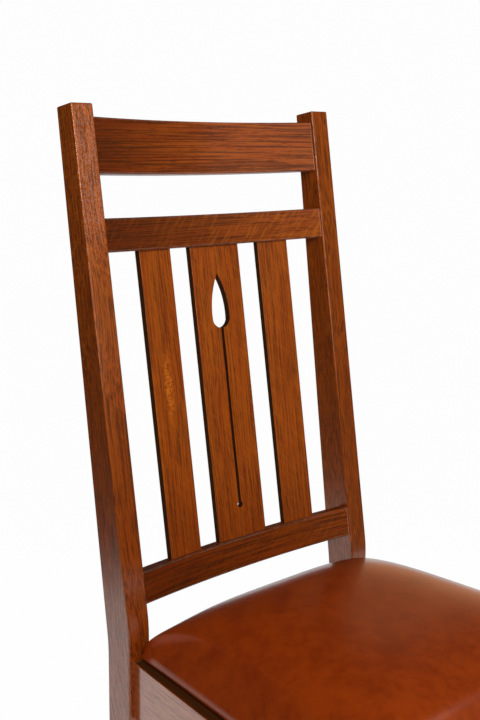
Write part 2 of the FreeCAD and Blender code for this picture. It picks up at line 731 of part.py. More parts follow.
def seat_outline(sketch, inset, radius):
    """The seat's splayed outline, moved in all round: rounded corners and sides drawn in between them."""
    rear, front = f"(seat_rear - ({inset}))", f"(seat_front + ({inset}))"
    lean, upright = "sin(side_splay)", "cos(side_splay)"

    def corner(y, start, turn):
        """Points round a corner whose centre is at y, from one outward direction to the next."""
        x = f"seat_half + (post_front - ({y})) * tan(side_splay) - (({inset}) + ({radius})) / {upright}"
        ways = [f"({start} + ({turn}) * {step / CORNER_STEPS})" for step in range(CORNER_STEPS + 1)]
        return [(f"{x} + ({radius}) * cos({way})", f"{y} + ({radius}) * sin({way})") for way in ways]

    ahead = corner(f"({front} + ({radius}))", "-90", "90 + side_splay")
    behind = corner(f"({rear} - ({radius}))", "side_splay", "90 - side_splay")
    (start_x, start_y), (end_x, end_y) = ahead[-1], behind[0]
    draw_in = f"(({end_y}) - ({start_y})) / 2 / {upright} * tan(side_draw_angle)"
    side = (f"(({start_x}) + ({end_x})) / 2 - {draw_in} * {upright}",
            f"(({start_y}) + ({end_y})) / 2 - {draw_in} * {lean}")
    right = ahead + [side] + behind
    left = [(f"-({x})", y) for x, y in reversed(right)]
    back = ("0", f"{rear} - ({behind[-1][0]}) * tan(side_draw_angle)")
    fore = ("0", f"{front} + ({ahead[0][0]}) * tan(side_draw_angle)")
    return draw(sketch, right + [back] + left + [fore])


def dome(name, skin):
    """The cushion's domed form, drawn in by a skin: a tucked lip, steep sides and a level crown."""
    levels = [("lip_tuck", f"seat_rail_top + {skin}"), ("0", f"seat_rail_top + lip_height + {skin}")]
    for step in range(1, DOME_STEPS + 1):
        share = (step / DOME_STEPS) ** DOME_SPREAD
        rise = f"(1 - (1 - {share:.4f}) ^ dome_power) ^ (1 / dome_root)"
        levels.append((f"{share:.4f} * dome_reach",
                       f"seat_rail_top + lip_height + (seat_crown - lip_height) * {rise} - {skin}"))
    sections = []
    for inset, level in levels:
        full = f"({inset}) + {skin}"
        width = f"seat_half + ({full}) * tan(side_splay) - ({full}) / cos(side_splay)"
        depth = f"(seat_rear - seat_front) / 2 - ({full})"
        most = f"{CORNER_SHARE} * min({width}; {depth})"
        radius = f"min(seat_corner + corner_growth * ({inset}); {most})"
        section = doc.addObject("Sketcher::SketchObject", name + "_section")
        bind(section, "Placement.Base.z", level)
        sections.append(seat_outline(section, full, radius))
    doc.recompute()
    loft = doc.addObject("Part::Loft", name)
    loft.Sections = sections
    loft.Solid = True
    loft.Ruled = True
    loft.Linearize = True
    doc.recompute()
    return loft


def slice_of(form, name, low, high):
    """The part of a form between two levels."""
    slab = straight_block(name + "_slab", "-leg_outer", "front_y", low, "2 * leg_outer", "seat_depth",
                          f"{high} - ({low})")
    piece = doc.addObject("Part::Common", name + "_slice")
    piece.Base = form
    piece.Tool = slab
    return piece


def make_seat(screw_holes):
    """The slip seat: a plywood board, its foam, the leather drawn over both and a cloth dust cover."""
    holes = screw_holes + [mirrored(hole) for hole in screw_holes]
    filling = dome("seat_filling", "(leather_thickness + soft_gap)")
    cut(slice_of(filling, "board", "board_low", "board_top"), holes, "seat_board")
    cut(slice_of(filling, "foam", "board_top", "seat_rail_top + seat_crown"), holes, "seat_foam")
    opening = make_body("leather_opening")
    hole = seat_outline(make_sketch(opening, "XY_Plane", "seat_rail_top - leather_thickness"),
                        "leather_turn", "seat_corner")
    pad(opening, hole, "3 * leather_thickness")
    hollow = dome("leather_hollow", "leather_thickness")
    cut(dome("leather_form", "0"), [hollow, opening] + holes, "seat_leather")
    cover = make_body("dust_cloth")
    cloth = seat_outline(make_sketch(cover, "XY_Plane", "board_low - dust_cover_thickness"),
                         "leather_turn + dust_cover_margin", "seat_corner")
    pad(cover, cloth, "dust_cover_thickness")
    cut(cover, holes, "dust_cover")


def nail_hole(name, x, y):
    """The hole for a floor glide's nail in the foot of a leg."""
    hole = doc.addObject("Part::Cylinder", name)
    bind(hole, "Radius", "glide_nail_radius + screw_gap")
    bind(hole, "Height", "glide_nail_length + tenon_end_gap")
    return place(hole, x, y, "glide_height")


def make_glides():
    """The nail-on floor glides under the four feet."""
    glides = []
    for name, x, y in (("rear", "-post_spacing / 2", "post_front + leg_depth / 2"),
                       ("front", "-(leg_outer + leg_inner) / 2", "front_y + front_leg_size / 2")):
        body = make_body(name + "_glide")
        profile = draw(make_sketch(body, "XZ_Plane"), [
            ("0", "0"),
            ("glide_radius - glide_chamfer", "0"),
            ("glide_radius", "glide_chamfer"),
            ("glide_radius", "glide_height"),
            ("glide_nail_radius", "glide_height"),
            ("glide_nail_radius", "glide_height + glide_nail_length - 2 * glide_nail_radius"),
            ("0", "glide_height + glide_nail_length"),
        ])
        turned = body.newObject("PartDesign::Revolution", "Turned")
        turned.Profile = profile
        turned.ReferenceAxis = (profile, ["V_Axis"])
        turned.Angle = 360
        doc.recompute()
        glides.append(place(body, x, y, "0"))
    group_of("floor_glides", glides + [mirrored(glide) for glide in glides])


def check_and_export():
    """Writes every sub-part, after making sure that nothing in the document has failed."""
    doc.recompute()
    failed = [obj.Label for obj in doc.Objects if "Invalid" in obj.State or "Error" in obj.State]
    failed += [node.Label for node in nodes if node.Shape.isNull() or not node.Shape.isValid()]
    if failed:
        raise RuntimeError("failed objects: " + ", ".join(failed))
    os.makedirs("parts", exist_ok=True)
    for node in nodes:
        solids = node.Shape.Solids
        shape = solids[0] if len(solids) == 1 else node.Shape
        shape.exportStep(f"parts/{node.Label}.step")
        print(f"{node.Label}: {len(solids)} solids, {sum(solid.Volume for solid in solids) / 1000:.1f} cm3")


make_back_posts()
make_front_legs()
make_back()
make_seat(make_seat_frame())
make_glides()
check_and_export()
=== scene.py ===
"""Mission dining chair: oak finish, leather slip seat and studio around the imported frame."""
import math
from functools import partialmethod

import bmesh
import bpy
from bpy.props import FloatProperty, FloatVectorProperty, PointerProperty
from bpy.types import Operator, Panel, PropertyGroup
from mathutils import Matrix, Vector


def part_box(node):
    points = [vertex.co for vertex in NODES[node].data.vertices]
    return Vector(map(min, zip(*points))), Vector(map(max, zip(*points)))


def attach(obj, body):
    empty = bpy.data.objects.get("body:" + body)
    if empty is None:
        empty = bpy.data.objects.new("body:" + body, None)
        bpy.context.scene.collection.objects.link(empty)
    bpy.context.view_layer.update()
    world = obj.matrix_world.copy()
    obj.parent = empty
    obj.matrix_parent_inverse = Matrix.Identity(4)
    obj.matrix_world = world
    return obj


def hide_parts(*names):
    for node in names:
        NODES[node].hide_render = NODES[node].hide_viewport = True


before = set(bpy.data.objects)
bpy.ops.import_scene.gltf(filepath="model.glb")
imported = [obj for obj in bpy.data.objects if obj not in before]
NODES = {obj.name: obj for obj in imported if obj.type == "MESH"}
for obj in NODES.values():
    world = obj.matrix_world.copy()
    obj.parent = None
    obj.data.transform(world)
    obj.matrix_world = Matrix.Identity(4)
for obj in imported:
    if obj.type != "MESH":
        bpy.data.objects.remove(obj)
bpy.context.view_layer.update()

bl_info = {
    "name": "Mission Dining Chair",
    "version": (1, 0, 0),
    "blender": (4, 5, 0),
    "location": "View3D > Sidebar > Chair",
    "description": "Finishes a stained oak dining chair and upholsters its slip seat",
    "category": "Object",
}

RAIL_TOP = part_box("left_seat_rail")[1].z
SEAT_LOW, SEAT_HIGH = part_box("seat_leather")
RAKE = math.radians(9.8)
SPLAY = math.radians(5.1)
QUARTER = math.radians(90)
FULL_TURN = 2 * math.pi
MM = 0.001
X, Y, Z = AXES = range(3)
DOWN, UP = Vector((0, 0, -1)), Vector((0, 0, 1))
# What settings of one kind share
TINT = {"subtype": "COLOR", "size": 3, "min": 0, "max": 1}
SHARE = {"subtype": "FACTOR", "min": 0, "max": 1}
LENGTH, REACH = {"unit": "LENGTH", "min": 0}, {"unit": "LENGTH", "min": 0.001}
POWER = {"unit": "POWER", "min": 0}


class OakFinish(PropertyGroup):
    """The stain and lacquer of the oak frame."""
    light: FloatVectorProperty(
        name="Light", description="Stain on the soft grain and the ray flecks",
        default=(0.36, 0.085, 0.005), **TINT)
    middle: FloatVectorProperty(
        name="Middle", description="Stain over most of the face", default=(0.256, 0.046, 0.0016), **TINT)
    dark: FloatVectorProperty(
        name="Dark", description="Stain in the grain lines", default=(0.055, 0.0065, 0.0005), **TINT)
    spacing: FloatProperty(
        name="Grain Spacing", description="Distance between grain lines", unit="LENGTH",
        min=0.0005, default=0.0015)
    coat: FloatProperty(name="Lacquer", description="Gloss of the stretchers' lacquer", default=0.3, **SHARE)
    coat_roughness: FloatProperty(
        name="Lacquer Roughness", description="How satin the lacquer is", default=0.13, **SHARE)
    sheen: FloatVectorProperty(
        name="Fibre Gloss", description="Colour of the light that the stained fibres send back",
        default=(1.0, 0.4, 0.12), **TINT)
    rail_coat: FloatProperty(
        name="Rail Lacquer", description="Gloss of the seat rails' lacquer", default=0.88, **SHARE)
    back_coat: FloatProperty(
        name="Back Lacquer", description="Gloss of the back rails' and slats' lacquer", default=0.17, **SHARE)
    post_coat: FloatProperty(
        name="Post Lacquer", description="Gloss of the posts' and legs' lacquer", default=0.67, **SHARE)


class SeatLeather(PropertyGroup):
    """The form and colour of the leather slip seat."""
    light: FloatVectorProperty(
        name="Light", description="Rubbed patches of the hide", default=(0.276, 0.0345, 0.0009), **TINT)
    dark: FloatVectorProperty(
        name="Dark", description="Dyed patches of the hide", default=(0.2, 0.0215, 0.0006), **TINT)
    lip: FloatProperty(
        name="Lip", description="Height of the rolled lip over the seat rails", default=0.0085, **LENGTH)
    shoulder: FloatProperty(
        name="Shoulder", description="Height of the stuffed edge over the seat rails",
        default=0.0395, **LENGTH)
    shoulder_reach: FloatProperty(
        name="Shoulder Reach", description="Width of the stuffed edge", default=0.0324, **REACH)
    crown: FloatProperty(
        name="Crown", description="Height of the middle over the seat rails", default=0.0849, **LENGTH)
    crown_reach: FloatProperty(
        name="Crown Reach", description="Distance from an edge to where the crown is level",
        default=0.2035, **REACH)
    corner: FloatProperty(name="Corner", description="Radius of the corners in plan", default=0.0045, **REACH)
    corner_reach: FloatProperty(
        name="Corner Reach", description="How far the stuffing stays fuller from a corner",
        default=0.05, **REACH)
    draw_in: FloatProperty(
        name="Draw In", description="How far the sides pull in between the corners", default=0.003, **LENGTH)
    sheen: FloatVectorProperty(
        name="Sheen", description="Colour of the light that the hide sends back",
        default=(1.0, 0.38, 0.2), **TINT)
    roughness: FloatProperty(name="Roughness", description="How satin the hide is", default=0.36, **SHARE)


class StudioSetup(PropertyGroup):
    """The floor, lamps and camera."""
    floor: FloatVectorProperty(
        name="Floor", description="Colour of the pale floor", default=(0.9, 0.9, 0.9), **TINT)
    key: FloatProperty(name="Key Lamp", description="Soft lamp over the camera", default=36, **POWER)
    fill: FloatProperty(name="Fill Lamp", description="Soft lamp to the left", default=14, **POWER)
    front: FloatProperty(
        name="Front Lamp", description="Soft lamp in front, that the back's fibres mirror",
        default=6, **POWER)
    haze: FloatProperty(
        name="Haze Lamp", description="Weak lamp in front, to the right, that the lacquer mirrors",
        default=3.9, **POWER)
    side: FloatProperty(
        name="Side Lamp", description="Reflector on the floor behind, to the left", default=0.45, **POWER)
    lens: FloatProperty(
        name="Lens", description="Focal length of the camera in millimetres", min=1, default=52.55)


class Net:
    """Adds linked nodes to a tree: a socket given as a value is set, one given as a socket is linked."""

    def __init__(self, tree):
        self.tree = tree

    def node(self, kind, sockets=None, **settings):
        made = self.tree.nodes.new(kind)
        for name, value in settings.items():
            setattr(made, name, value)
        self.fill(made, sockets or {})
        return made

    def fill(self, node, sockets):
        for key, value in sockets.items():
            if isinstance(value, bpy.types.NodeSocket):
                self.tree.links.new(value, node.inputs[key])
            else:
                node.inputs[key].default_value = value

    def place(self):
        return self.node("ShaderNodeTexCoord").outputs["Object"]

    def normal(self):
        return self.node("ShaderNodeNewGeometry").outputs["True Normal"]

    def rays(self):
        """What looks at a place, and whether it is gloss or glass."""
        light = self.node("ShaderNodeLightPath").outputs
        return light, self.most(light["Is Glossy Ray"], light["Is Transmission Ray"])

    def math(self, operation, first, second=0.0):
        return self.node("ShaderNodeMath", {0: first, 1: second}, operation=operation).outputs[0]

    plus = partialmethod(math, "ADD")
    less = partialmethod(math, "SUBTRACT")
    times = partialmethod(math, "MULTIPLY")
    over = partialmethod(math, "DIVIDE")
    most = partialmethod(math, "MAXIMUM")

    def vector(self, operation, result, first, second=(0.0, 0.0, 0.0)):
        made = self.node("ShaderNodeVectorMath", {0: first, 1: second}, operation=operation)
        return made.outputs[result]

    scaled = partialmethod(vector, "MULTIPLY", "Vector")
    moved = partialmethod(vector, "ADD", "Vector")
    length = partialmethod(vector, "LENGTH", "Value")
    dot = partialmethod(vector, "DOT_PRODUCT", "Value")

    def parts(self, vector):
        return self.node("ShaderNodeSeparateXYZ", {0: vector}).outputs

    def joined(self, x, y, z=0.0):
        return self.node("ShaderNodeCombineXYZ", {0: x, 1: y, 2: z}).outputs[0]

    def noise(self, vector, rate, detail=2.0, roughness=0.5):
        """Noise at a rate per metre, or at a rate for each axis."""
        if not isinstance(rate, float):
            vector, rate = self.scaled(vector, rate), 1.0
        return self.node("ShaderNodeTexNoise", {
            "Vector": vector, "Scale": rate, "Detail": detail, "Roughness": roughness}).outputs[0]

    def remap(self, value, low, high, to_low=0.0, to_high=1.0):
        return self.node("ShaderNodeMapRange", {
            "Value": value, "From Min": low, "From Max": high, "To Min": to_low, "To Max": to_high},
            interpolation_type="SMOOTHSTEP").outputs[0]

    def blend(self, share, first, second, way="MIX"):
        return self.node("ShaderNodeMix", data_type="RGBA", blend_type=way,
                         sockets={0: share, 6: first, 7: second}).outputs[2]

    def bump(self, height, strength, distance):
        return self.node("ShaderNodeBump", {
            "Height": height, "Strength": strength, "Distance": distance}).outputs[0]


ONE_COLOR = {"Color": ["Color"]}


def new_group(name, inputs, outputs=ONE_COLOR):
    """A shader node group with sockets named by kind: its tree, its net, what it is given and its end."""
    group = bpy.data.node_groups.new(name, "ShaderNodeTree")
    for way, kinds in (("INPUT", inputs), ("OUTPUT", outputs)):
        for kind, labels in kinds.items():
            for label in labels:
                group.interface.new_socket(label, in_out=way, socket_type="NodeSocket" + kind)
    given = group.nodes.new("NodeGroupInput").outputs
    return group, Net(group), given, group.nodes.new("NodeGroupOutput")


# How often the layers of the oak's figure change across and along a board, per metre
WANDER = (11.0, 11.0, 5.0)
TONE = (95.0, 95.0, 6.0)
PORES = (820.0, 820.0, 52.0)
MIST = (560.0, 560.0, 260.0)
FLECKS = (290.0, 60.0, 42.0)
# Rate of the grain lines along a board as a share of that across it
GRAIN_STRETCH = 0.012
FLECK_SLANT = math.radians(48)
PORE_STAIN = 0.65
# Colour of the darkened sides, of the painted shade on the cut-out's walls and of the painted shadow on the
# seat rails' top ledges
DARK_SIDE_AND_SHADOW_COLOR = (0.006, 0.0012, 0.0006, 1)


def oak_grain_group():
    """Oak figure along the vector's Z: grain, tone, pore dashes and ray flecks; also darker faces turned away
    from the front and back, with painted shade in narrow cut-outs, and a painted shadow on faces turned up.
    """
    group, net, given, end = new_group("Oak Grain", {
        "Vector": ["Vector"], "Color": ["Light", "Middle", "Dark"],
        "Float": ["Spacing", "Fleck", "Figure", "Sway", "Grain", "Open Pores", "Edge Stain", "Top Stain"],
    }, {**ONE_COLOR, "Float": ["Roughness", "Height", "Lacquered"]})
    vector = given["Vector"]
    sway = net.times(net.less(net.noise(vector, WANDER, 1.0), 0.5), given["Sway"])
    grain = net.moved(vector, net.joined(sway, sway))
    rate = net.over(1.0, given["Spacing"])
    stretch = net.joined(rate, rate, net.times(rate, GRAIN_STRETCH))
    lines = net.remap(net.noise(grain, stretch, 1.5, 0.6), 0.38, 0.56)
    tone = net.remap(net.noise(grain, TONE), 0.3, 0.7)
    dashes = net.remap(net.noise(grain, PORES), 0.54, 0.66)
    mist = net.remap(net.noise(vector, MIST, 1.0), 0.38, 0.6, 0.1, 1.0)
    slant = net.node("ShaderNodeVectorRotate", {"Vector": vector, "Angle": FLECK_SLANT},
                     rotation_type="Y_AXIS").outputs[0]
    flecks = net.remap(net.noise(slant, FLECKS, 1.5), 0.46, 0.7)
    shade = net.times(net.less(1.0, lines), given["Grain"])
    color = net.blend(shade, given["Middle"], given["Dark"])
    color = net.blend(net.times(tone, given["Figure"]), color, given["Light"], "SOFT_LIGHT")
    color = net.blend(net.times(flecks, given["Fleck"]), color, given["Light"])
    color = net.blend(net.times(net.times(dashes, PORE_STAIN), given["Grain"]), color, given["Dark"])
    facing = net.parts(net.normal())
    # Faces not turned to the front or back go dark: the slats' sides and ends, and painted shade on the
    # cut-out's walls
    sides_and_shade = net.times(net.remap(net.math("ABSOLUTE", facing[Y]), 0.6, 0.3), given["Edge Stain"])
    # Painted shadow on faces turned up, such as the seat rails' ledges under the leather's overhang
    ledge = net.times(net.remap(facing[Z], 0.8, 0.95), given["Top Stain"])
    # stained holds the darkened sides and the painted shade and shadow: there the colour is dark, rough and
    # unlacquered
    stained = net.most(sides_and_shade, ledge)
    rough = net.plus(net.times(dashes, 0.2), net.remap(lines, 0, 1, 0.5, 0.42))
    filled = net.times(mist, net.remap(dashes, 0, 1, 1.0, 0.45))
    bare = net.times(net.less(1.0, filled), given["Open Pores"])
    net.fill(end, {
        "Color": net.blend(stained, color, DARK_SIDE_AND_SHADOW_COLOR),
        "Roughness": net.most(rough, stained),
        "Height": net.less(net.times(lines, 0.4), dashes),
        "Lacquered": net.less(1.0, net.most(bare, stained))})
    return group


def painted_light_and_shade_group():
    """Painted light and shade: scales the colour from one level at one end of a board to another at the other
    end.
    """
    group, net, given, end = new_group("Board Tone", {
        "Color": ["Color", "First Tone", "Last Tone"], "Float": ["Along", "First End", "Last End"]})
    share = net.remap(given["Along"], given["First End"], given["Last End"])
    tone = net.blend(share, given["First Tone"], given["Last Tone"])
    net.fill(end, {"Color": net.scaled(given["Color"], tone)})
    return group


# How often a flame's strokes change over its half width and half height
FLAME_STROKES = (1.6, 1.0, 16.0)


def flame_fleck_group():
    """A lighter flame where the saw cut a ray; the vector runs from its middle, and is 1 at its rim."""
    group, net, given, end = new_group("Flame Fleck", {
        "Color": ["Color", "Light"], "Vector": ["Vector"], "Float": ["Amount"]})
    strokes = net.remap(net.noise(given["Vector"], FLAME_STROKES, 1.0), 0.38, 0.6)
    inside = net.remap(net.length(given["Vector"]), 1.0, 0.2)
    share = net.times(net.times(strokes, inside), given["Amount"])
    net.fill(end, {"Color": net.blend(share, given["Color"], given["Light"])})
    return group


def arris_highlight_group():
    """A painted highlight: pales the colour along the arrises, broken up by noise, where lit edges would
    glint.
    """
    # Its Rubbed input is the colour of the painted highlight
    group, net, given, end = new_group("Rubbed Edges", {
        "Color": ["Color", "Rubbed"], "Float": ["Radius", "Amount"]})
    rounded = net.node("ShaderNodeBevel", {"Radius": given["Radius"]}, samples=8).outputs[0]
    turn = net.dot(rounded, net.normal())
    broken = net.remap(net.noise(net.place(), 45.0, 2.0, 0.6), 0.35, 0.65, 0.45, 1.0)
    edge = net.times(net.remap(turn, 0.985, 0.8), broken)
    share = net.times(edge, given["Amount"])
    net.fill(end, {"Color": net.blend(share, given["Color"], given["Rubbed"])})
    return group


PEBBLES = 720.0     # per metre


def hide_group():
    """Leather: cloudy dye, fine pebble and shallow creases."""
    group, net, given, end = new_group("Hide", {
        "Color": ["Light", "Dark"], "Float": ["Roughness"],
    }, {**ONE_COLOR, "Float": ["Roughness", "Height"]})
    place = net.place()
    broad = net.noise(place, 17.0, 4.0, 0.6)
    small = net.noise(place, 85.0, 3.0, 0.6)
    dye = net.plus(net.times(broad, 0.6), net.times(small, 0.4))
    pebble = net.node("ShaderNodeTexVoronoi", {"Vector": place, "Scale": PEBBLES},
                      feature="SMOOTH_F1").outputs["Distance"]
    crease = net.remap(net.noise(place, 240.0, 4.0, 0.7), 0.3, 0.7)
    net.fill(end, {
        "Color": net.blend(net.remap(dye, 0.34, 0.64), given["Dark"], given["Light"]),
        "Roughness": net.plus(net.times(small, 0.12), net.less(given["Roughness"], 0.06)),
        "Height": net.plus(net.times(pebble, -0.6), net.times(crease, 0.4))})
    return group


EFFECTS = {"Oak Grain": oak_grain_group, "Board Tone": painted_light_and_shade_group, "Flame Fleck": flame_fleck_group,
           "Rubbed Edges": arris_highlight_group, "Hide": hide_group}


def effect(net, name, sockets):
    """The outputs of a shared effect, whose group is built the first time that it is needed."""
    tree = bpy.data.node_groups.get(name) or EFFECTS[name]()
    return net.node("ShaderNodeGroup", sockets, node_tree=tree).outputs


def new_material(name):
    """An empty material with its net and its shader."""
    material = bpy.data.materials.new(name)
    material.use_nodes = True
    return material, Net(material.node_tree), material.node_tree.nodes["Principled BSDF"]


def opaque(color):
    """A colour with full alpha."""
    return (*color, 1.0)


def grey(level):
    """A grey with full alpha."""
    return (level, level, level, 1.0)


def light_and_shade_color(tone):
    """A level of the painted light and shade as a colour: as it darkens it also reddens."""
    return (tone, tone ** 1.4, tone ** 1.5, 1.0)


# Turns that bring a piece's length to Z
UPRIGHT = (RAKE, 0.0, 0.0)
PLUMB = (0.0, 0.0, 0.0)
ACROSS = (RAKE, -QUARTER, 0.0)
LEVEL = (0.0, -QUARTER, 0.0)
LEFT_SIDE = (QUARTER, -SPLAY, 0.0)
RIGHT_SIDE = (QUARTER, SPLAY, 0.0)
# Steps from one board's place in the wood to the next one's
BOARD_STEP = (0.137, 0.211, 0.53)
# Rise of the bowed rails, over half the room between the posts
BOWED = {"crest_rail": 0.017, "upper_back_rail": 0.014, "lower_back_rail": 0.014}
HALF_RAIL = 0.1845
# Height of a lighter flame as a share of its board's, and half its width and its height
FLAMES = {"left_slat": (0.55, 0.011, 0.062)}
FLAME_LIGHT = (0.55, 0.14, 0.008, 1)
FLAME_AMOUNT = 0.75
# Colour of the painted highlight on the arrises, and the rounding radius that finds them
ARRIS_HIGHLIGHT_COLOR = (0.85, 0.6, 0.48, 1)
ARRIS_HIGHLIGHT_RADIUS = 0.0027
FIBRE_GLOSS = 0.8
LACQUER_IOR = 1.6
# Two heights on a post, and how open its pores are there
POST_PORES = (0.7, 0.95, 0.2, 1.0)
# Strength of the darkened sides with their painted shade, of the painted ledge shadow and of the painted
# arris highlight, sway and strength of the grain, how open the pores are, and the setting of the lacquer;
# pores of None change with the height
PLAIN_LOOK = {"edge_stain": 0.0, "top_stain": 0.0, "rubbed": 0.45, "sway": 0.012, "lined": 0.88,
              "pores": 0.45, "coat": "coat"}
# Axis, two places and two levels between which a board's painted light and shade changes
LEG_LIGHT_AND_SHADE = (Z, 0.0, 0.39, 0.95, 1.05)
SLAT_LIGHT_AND_SHADE = (Z, 0.5, 0.62, 0.98, 1.26)
RAIL_LIGHT_AND_SHADE = (X, -0.2, 0.2, 0.92, 1.05)
STRETCHER_LIGHT_AND_SHADE = (X, -0.2, 0.2, 0.95, 1.05)
SIDE_LIGHT_AND_SHADE = (Y, -0.25, 0.15, 1.05, 0.95)


def unbent(net, place, rise):
    """A bowed rail's places as they were before it was bent."""
    reach = net.parts(place)[X]
    back = net.times(net.times(reach, reach), rise / HALF_RAIL ** 2)
    return net.moved(place, net.joined(0.0, back))


def flamed(net, place, color, node):
    """The stain of a board with its lighter flame."""
    share, wide, tall = FLAMES[node]
    low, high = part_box(node)
    middle = Vector(((low.x + high.x) / 2, 0.0, low.z + (high.z - low.z) * share))
    spot = net.scaled(net.moved(place, -middle), (1 / wide, 0.0, 1 / tall))
    return effect(net, "Flame Fleck", {
        "Color": color, "Vector": spot, "Light": FLAME_LIGHT, "Amount": FLAME_AMOUNT})["Color"]


def oak_material(finish, look, node, turn, fleck, figure, light_and_shade):
    """Stained oak whose grain runs along a node."""
    material, net, shader = new_material("oak_" + node)
    place = net.place()
    number = sorted(NODES).index(node)
    straight = unbent(net, place, BOWED[node]) if node in BOWED else place
    board = net.node("ShaderNodeMapping", {
        "Vector": straight, "Rotation": turn, "Location": [step * number for step in BOARD_STEP]})
    pores = look["pores"]
    if pores is None:
        pores = net.remap(net.parts(place)[Z], *POST_PORES)
    grain = effect(net, "Oak Grain", {
        "Vector": board.outputs[0], "Spacing": finish.spacing, "Light": opaque(finish.light),
        "Middle": opaque(finish.middle), "Dark": opaque(finish.dark), "Fleck": fleck, "Figure": figure,
        "Sway": look["sway"], "Grain": look["lined"], "Open Pores": pores,
        "Edge Stain": look["edge_stain"], "Top Stain": look["top_stain"]})
    axis, first, last, first_level, last_level = light_and_shade
    # Painted light and shade along the board
    color = effect(net, "Board Tone", {
        "Color": grain["Color"], "Along": net.parts(place)[axis], "First End": first, "Last End": last,
        "First Tone": light_and_shade_color(first_level), "Last Tone": light_and_shade_color(last_level)})["Color"]
    if node in FLAMES:
        color = flamed(net, place, color, node)
    # Painted highlight: a pale colour along the arrises, where lit edges would glint
    highlighted = effect(net, "Rubbed Edges", {
        "Color": color, "Rubbed": ARRIS_HIGHLIGHT_COLOR, "Radius": ARRIS_HIGHLIGHT_RADIUS, "Amount": look["rubbed"]})
    net.fill(shader, {
        "Base Color": highlighted["Color"], "Roughness": grain["Roughness"],
        "Specular IOR Level": FIBRE_GLOSS, "Specular Tint": opaque(finish.sheen),
        "Coat Weight": net.times(grain["Lacquered"], getattr(finish, look["coat"])),
        "Coat Roughness": finish.coat_roughness, "Coat IOR": LACQUER_IOR,
        "Normal": net.bump(grain["Height"], 0.3, 0.0004)})
    return material


def dress(node, material):
    """Gives a CAD node its finish."""
    mesh = NODES[node].data
    mesh.materials.clear()
    mesh.materials.append(material)


def dress_oak(context, pieces, **changes):
    """Finishes oak nodes; each entry is the node, its grain's turn, how strong its flecks and figure are, and
    its painted light and shade."""
    finish = context.scene.chair_oak
    look = {**PLAIN_LOOK, **changes}
    for piece in pieces:
        dress(piece[0], oak_material(finish, look, *piece))


class CHAIR_OT_posts(Operator):
    """Finish the back posts and front legs in stained oak"""
    bl_idname = "chair.posts"
    bl_label = "Posts and Legs"

    def execute(self, context):
        # The last entries paint each piece darker low down and lighter high up
        dress_oak(context, [
            ("left_back_post", UPRIGHT, 0.15, 0.22, (Z, 0.45, 1.05, 0.82, 1.36)),
            ("right_back_post", UPRIGHT, 0.12, 0.22, (Z, 0.45, 1.05, 1.0, 1.18)),
            ("left_front_leg", PLUMB, 0.15, 0.4, LEG_LIGHT_AND_SHADE),
            ("right_front_leg", PLUMB, 0.15, 0.4, LEG_LIGHT_AND_SHADE),
        ], coat="post_coat", rubbed=1.0, sway=0.032, lined=0.8, pores=None)
        return {"FINISHED"}


class CHAIR_OT_back_rails(Operator):
    """Finish the bowed back rails in stained oak"""
    bl_idname = "chair.back_rails"
    bl_label = "Back Rails"

    def execute(self, context):
        # The last entries paint each rail darker towards its left end
        dress_oak(context, [
            ("crest_rail", ACROSS, 0.06, 0.4, (X, -0.2, 0.03, 0.5, 1.2)),
            ("upper_back_rail", ACROSS, 0.6, 0.3, (X, -0.2, 0.15, 0.36, 1.06)),
            ("lower_back_rail", ACROSS, 0.2, 0.3, (X, -0.2, 0.2, 0.46, 0.84)),
        ], coat="back_coat", sway=0.004)
        return {"FINISHED"}


class CHAIR_OT_slats(Operator):
    """Finish the back slats in stained oak"""
    bl_idname = "chair.slats"
    bl_label = "Slats"

    def execute(self, context):
        # The slats' sides are darkened, with painted shade on the cut-out's walls
        dress_oak(context, [
            # The last entry paints each slat darker low down and lighter higher up
            (node, UPRIGHT, 0.15, 0.3, SLAT_LIGHT_AND_SHADE)
            for node in ("left_slat", "center_slat", "right_slat")
        ], edge_stain=0.98, coat="back_coat", rubbed=0.0, lined=0.72)
        return {"FINISHED"}


class CHAIR_OT_seat_rails(Operator):
    """Finish the seat rails in stained oak"""
    bl_idname = "chair.seat_rails"
    bl_label = "Seat Rails"

    def execute(self, context):
        # The rails' top ledges get a painted shadow where the leather overhangs them
        dress_oak(context, [
            # The last entries paint light and shade: darker towards the left on the front and rear rails,
            # lighter on the left side rail and towards the front of the right one
            ("front_seat_rail", LEVEL, 0.3, 0.5, RAIL_LIGHT_AND_SHADE),
            ("rear_seat_rail", LEVEL, 0.2, 0.4, RAIL_LIGHT_AND_SHADE),
            ("left_seat_rail", LEFT_SIDE, 0.1, 0.25, (Y, -0.25, 0.15, 1.3, 1.2)),
            ("right_seat_rail", RIGHT_SIDE, 0.2, 0.4, SIDE_LIGHT_AND_SHADE),
        ], top_stain=0.9, coat="rail_coat", rubbed=0.2, lined=0.5, pores=0.12)
        return {"FINISHED"}


class CHAIR_OT_stretchers(Operator):
    """Finish the stretchers in stained oak"""
    bl_idname = "chair.stretchers"
    bl_label = "Stretchers"

    def execute(self, context):
        # The last entries paint slight light and shade along each stretcher
        dress_oak(context, [
            ("front_stretcher", LEVEL, 0.2, 0.4, STRETCHER_LIGHT_AND_SHADE),
            ("rear_stretcher", LEVEL, 0.2, 0.4, STRETCHER_LIGHT_AND_SHADE),
            ("left_side_stretcher", LEFT_SIDE, 0.2, 0.4, SIDE_LIGHT_AND_SHADE),
            ("right_side_stretcher", RIGHT_SIDE, 0.2, 0.4, SIDE_LIGHT_AND_SHADE),
        ])
        return {"FINISHED"}


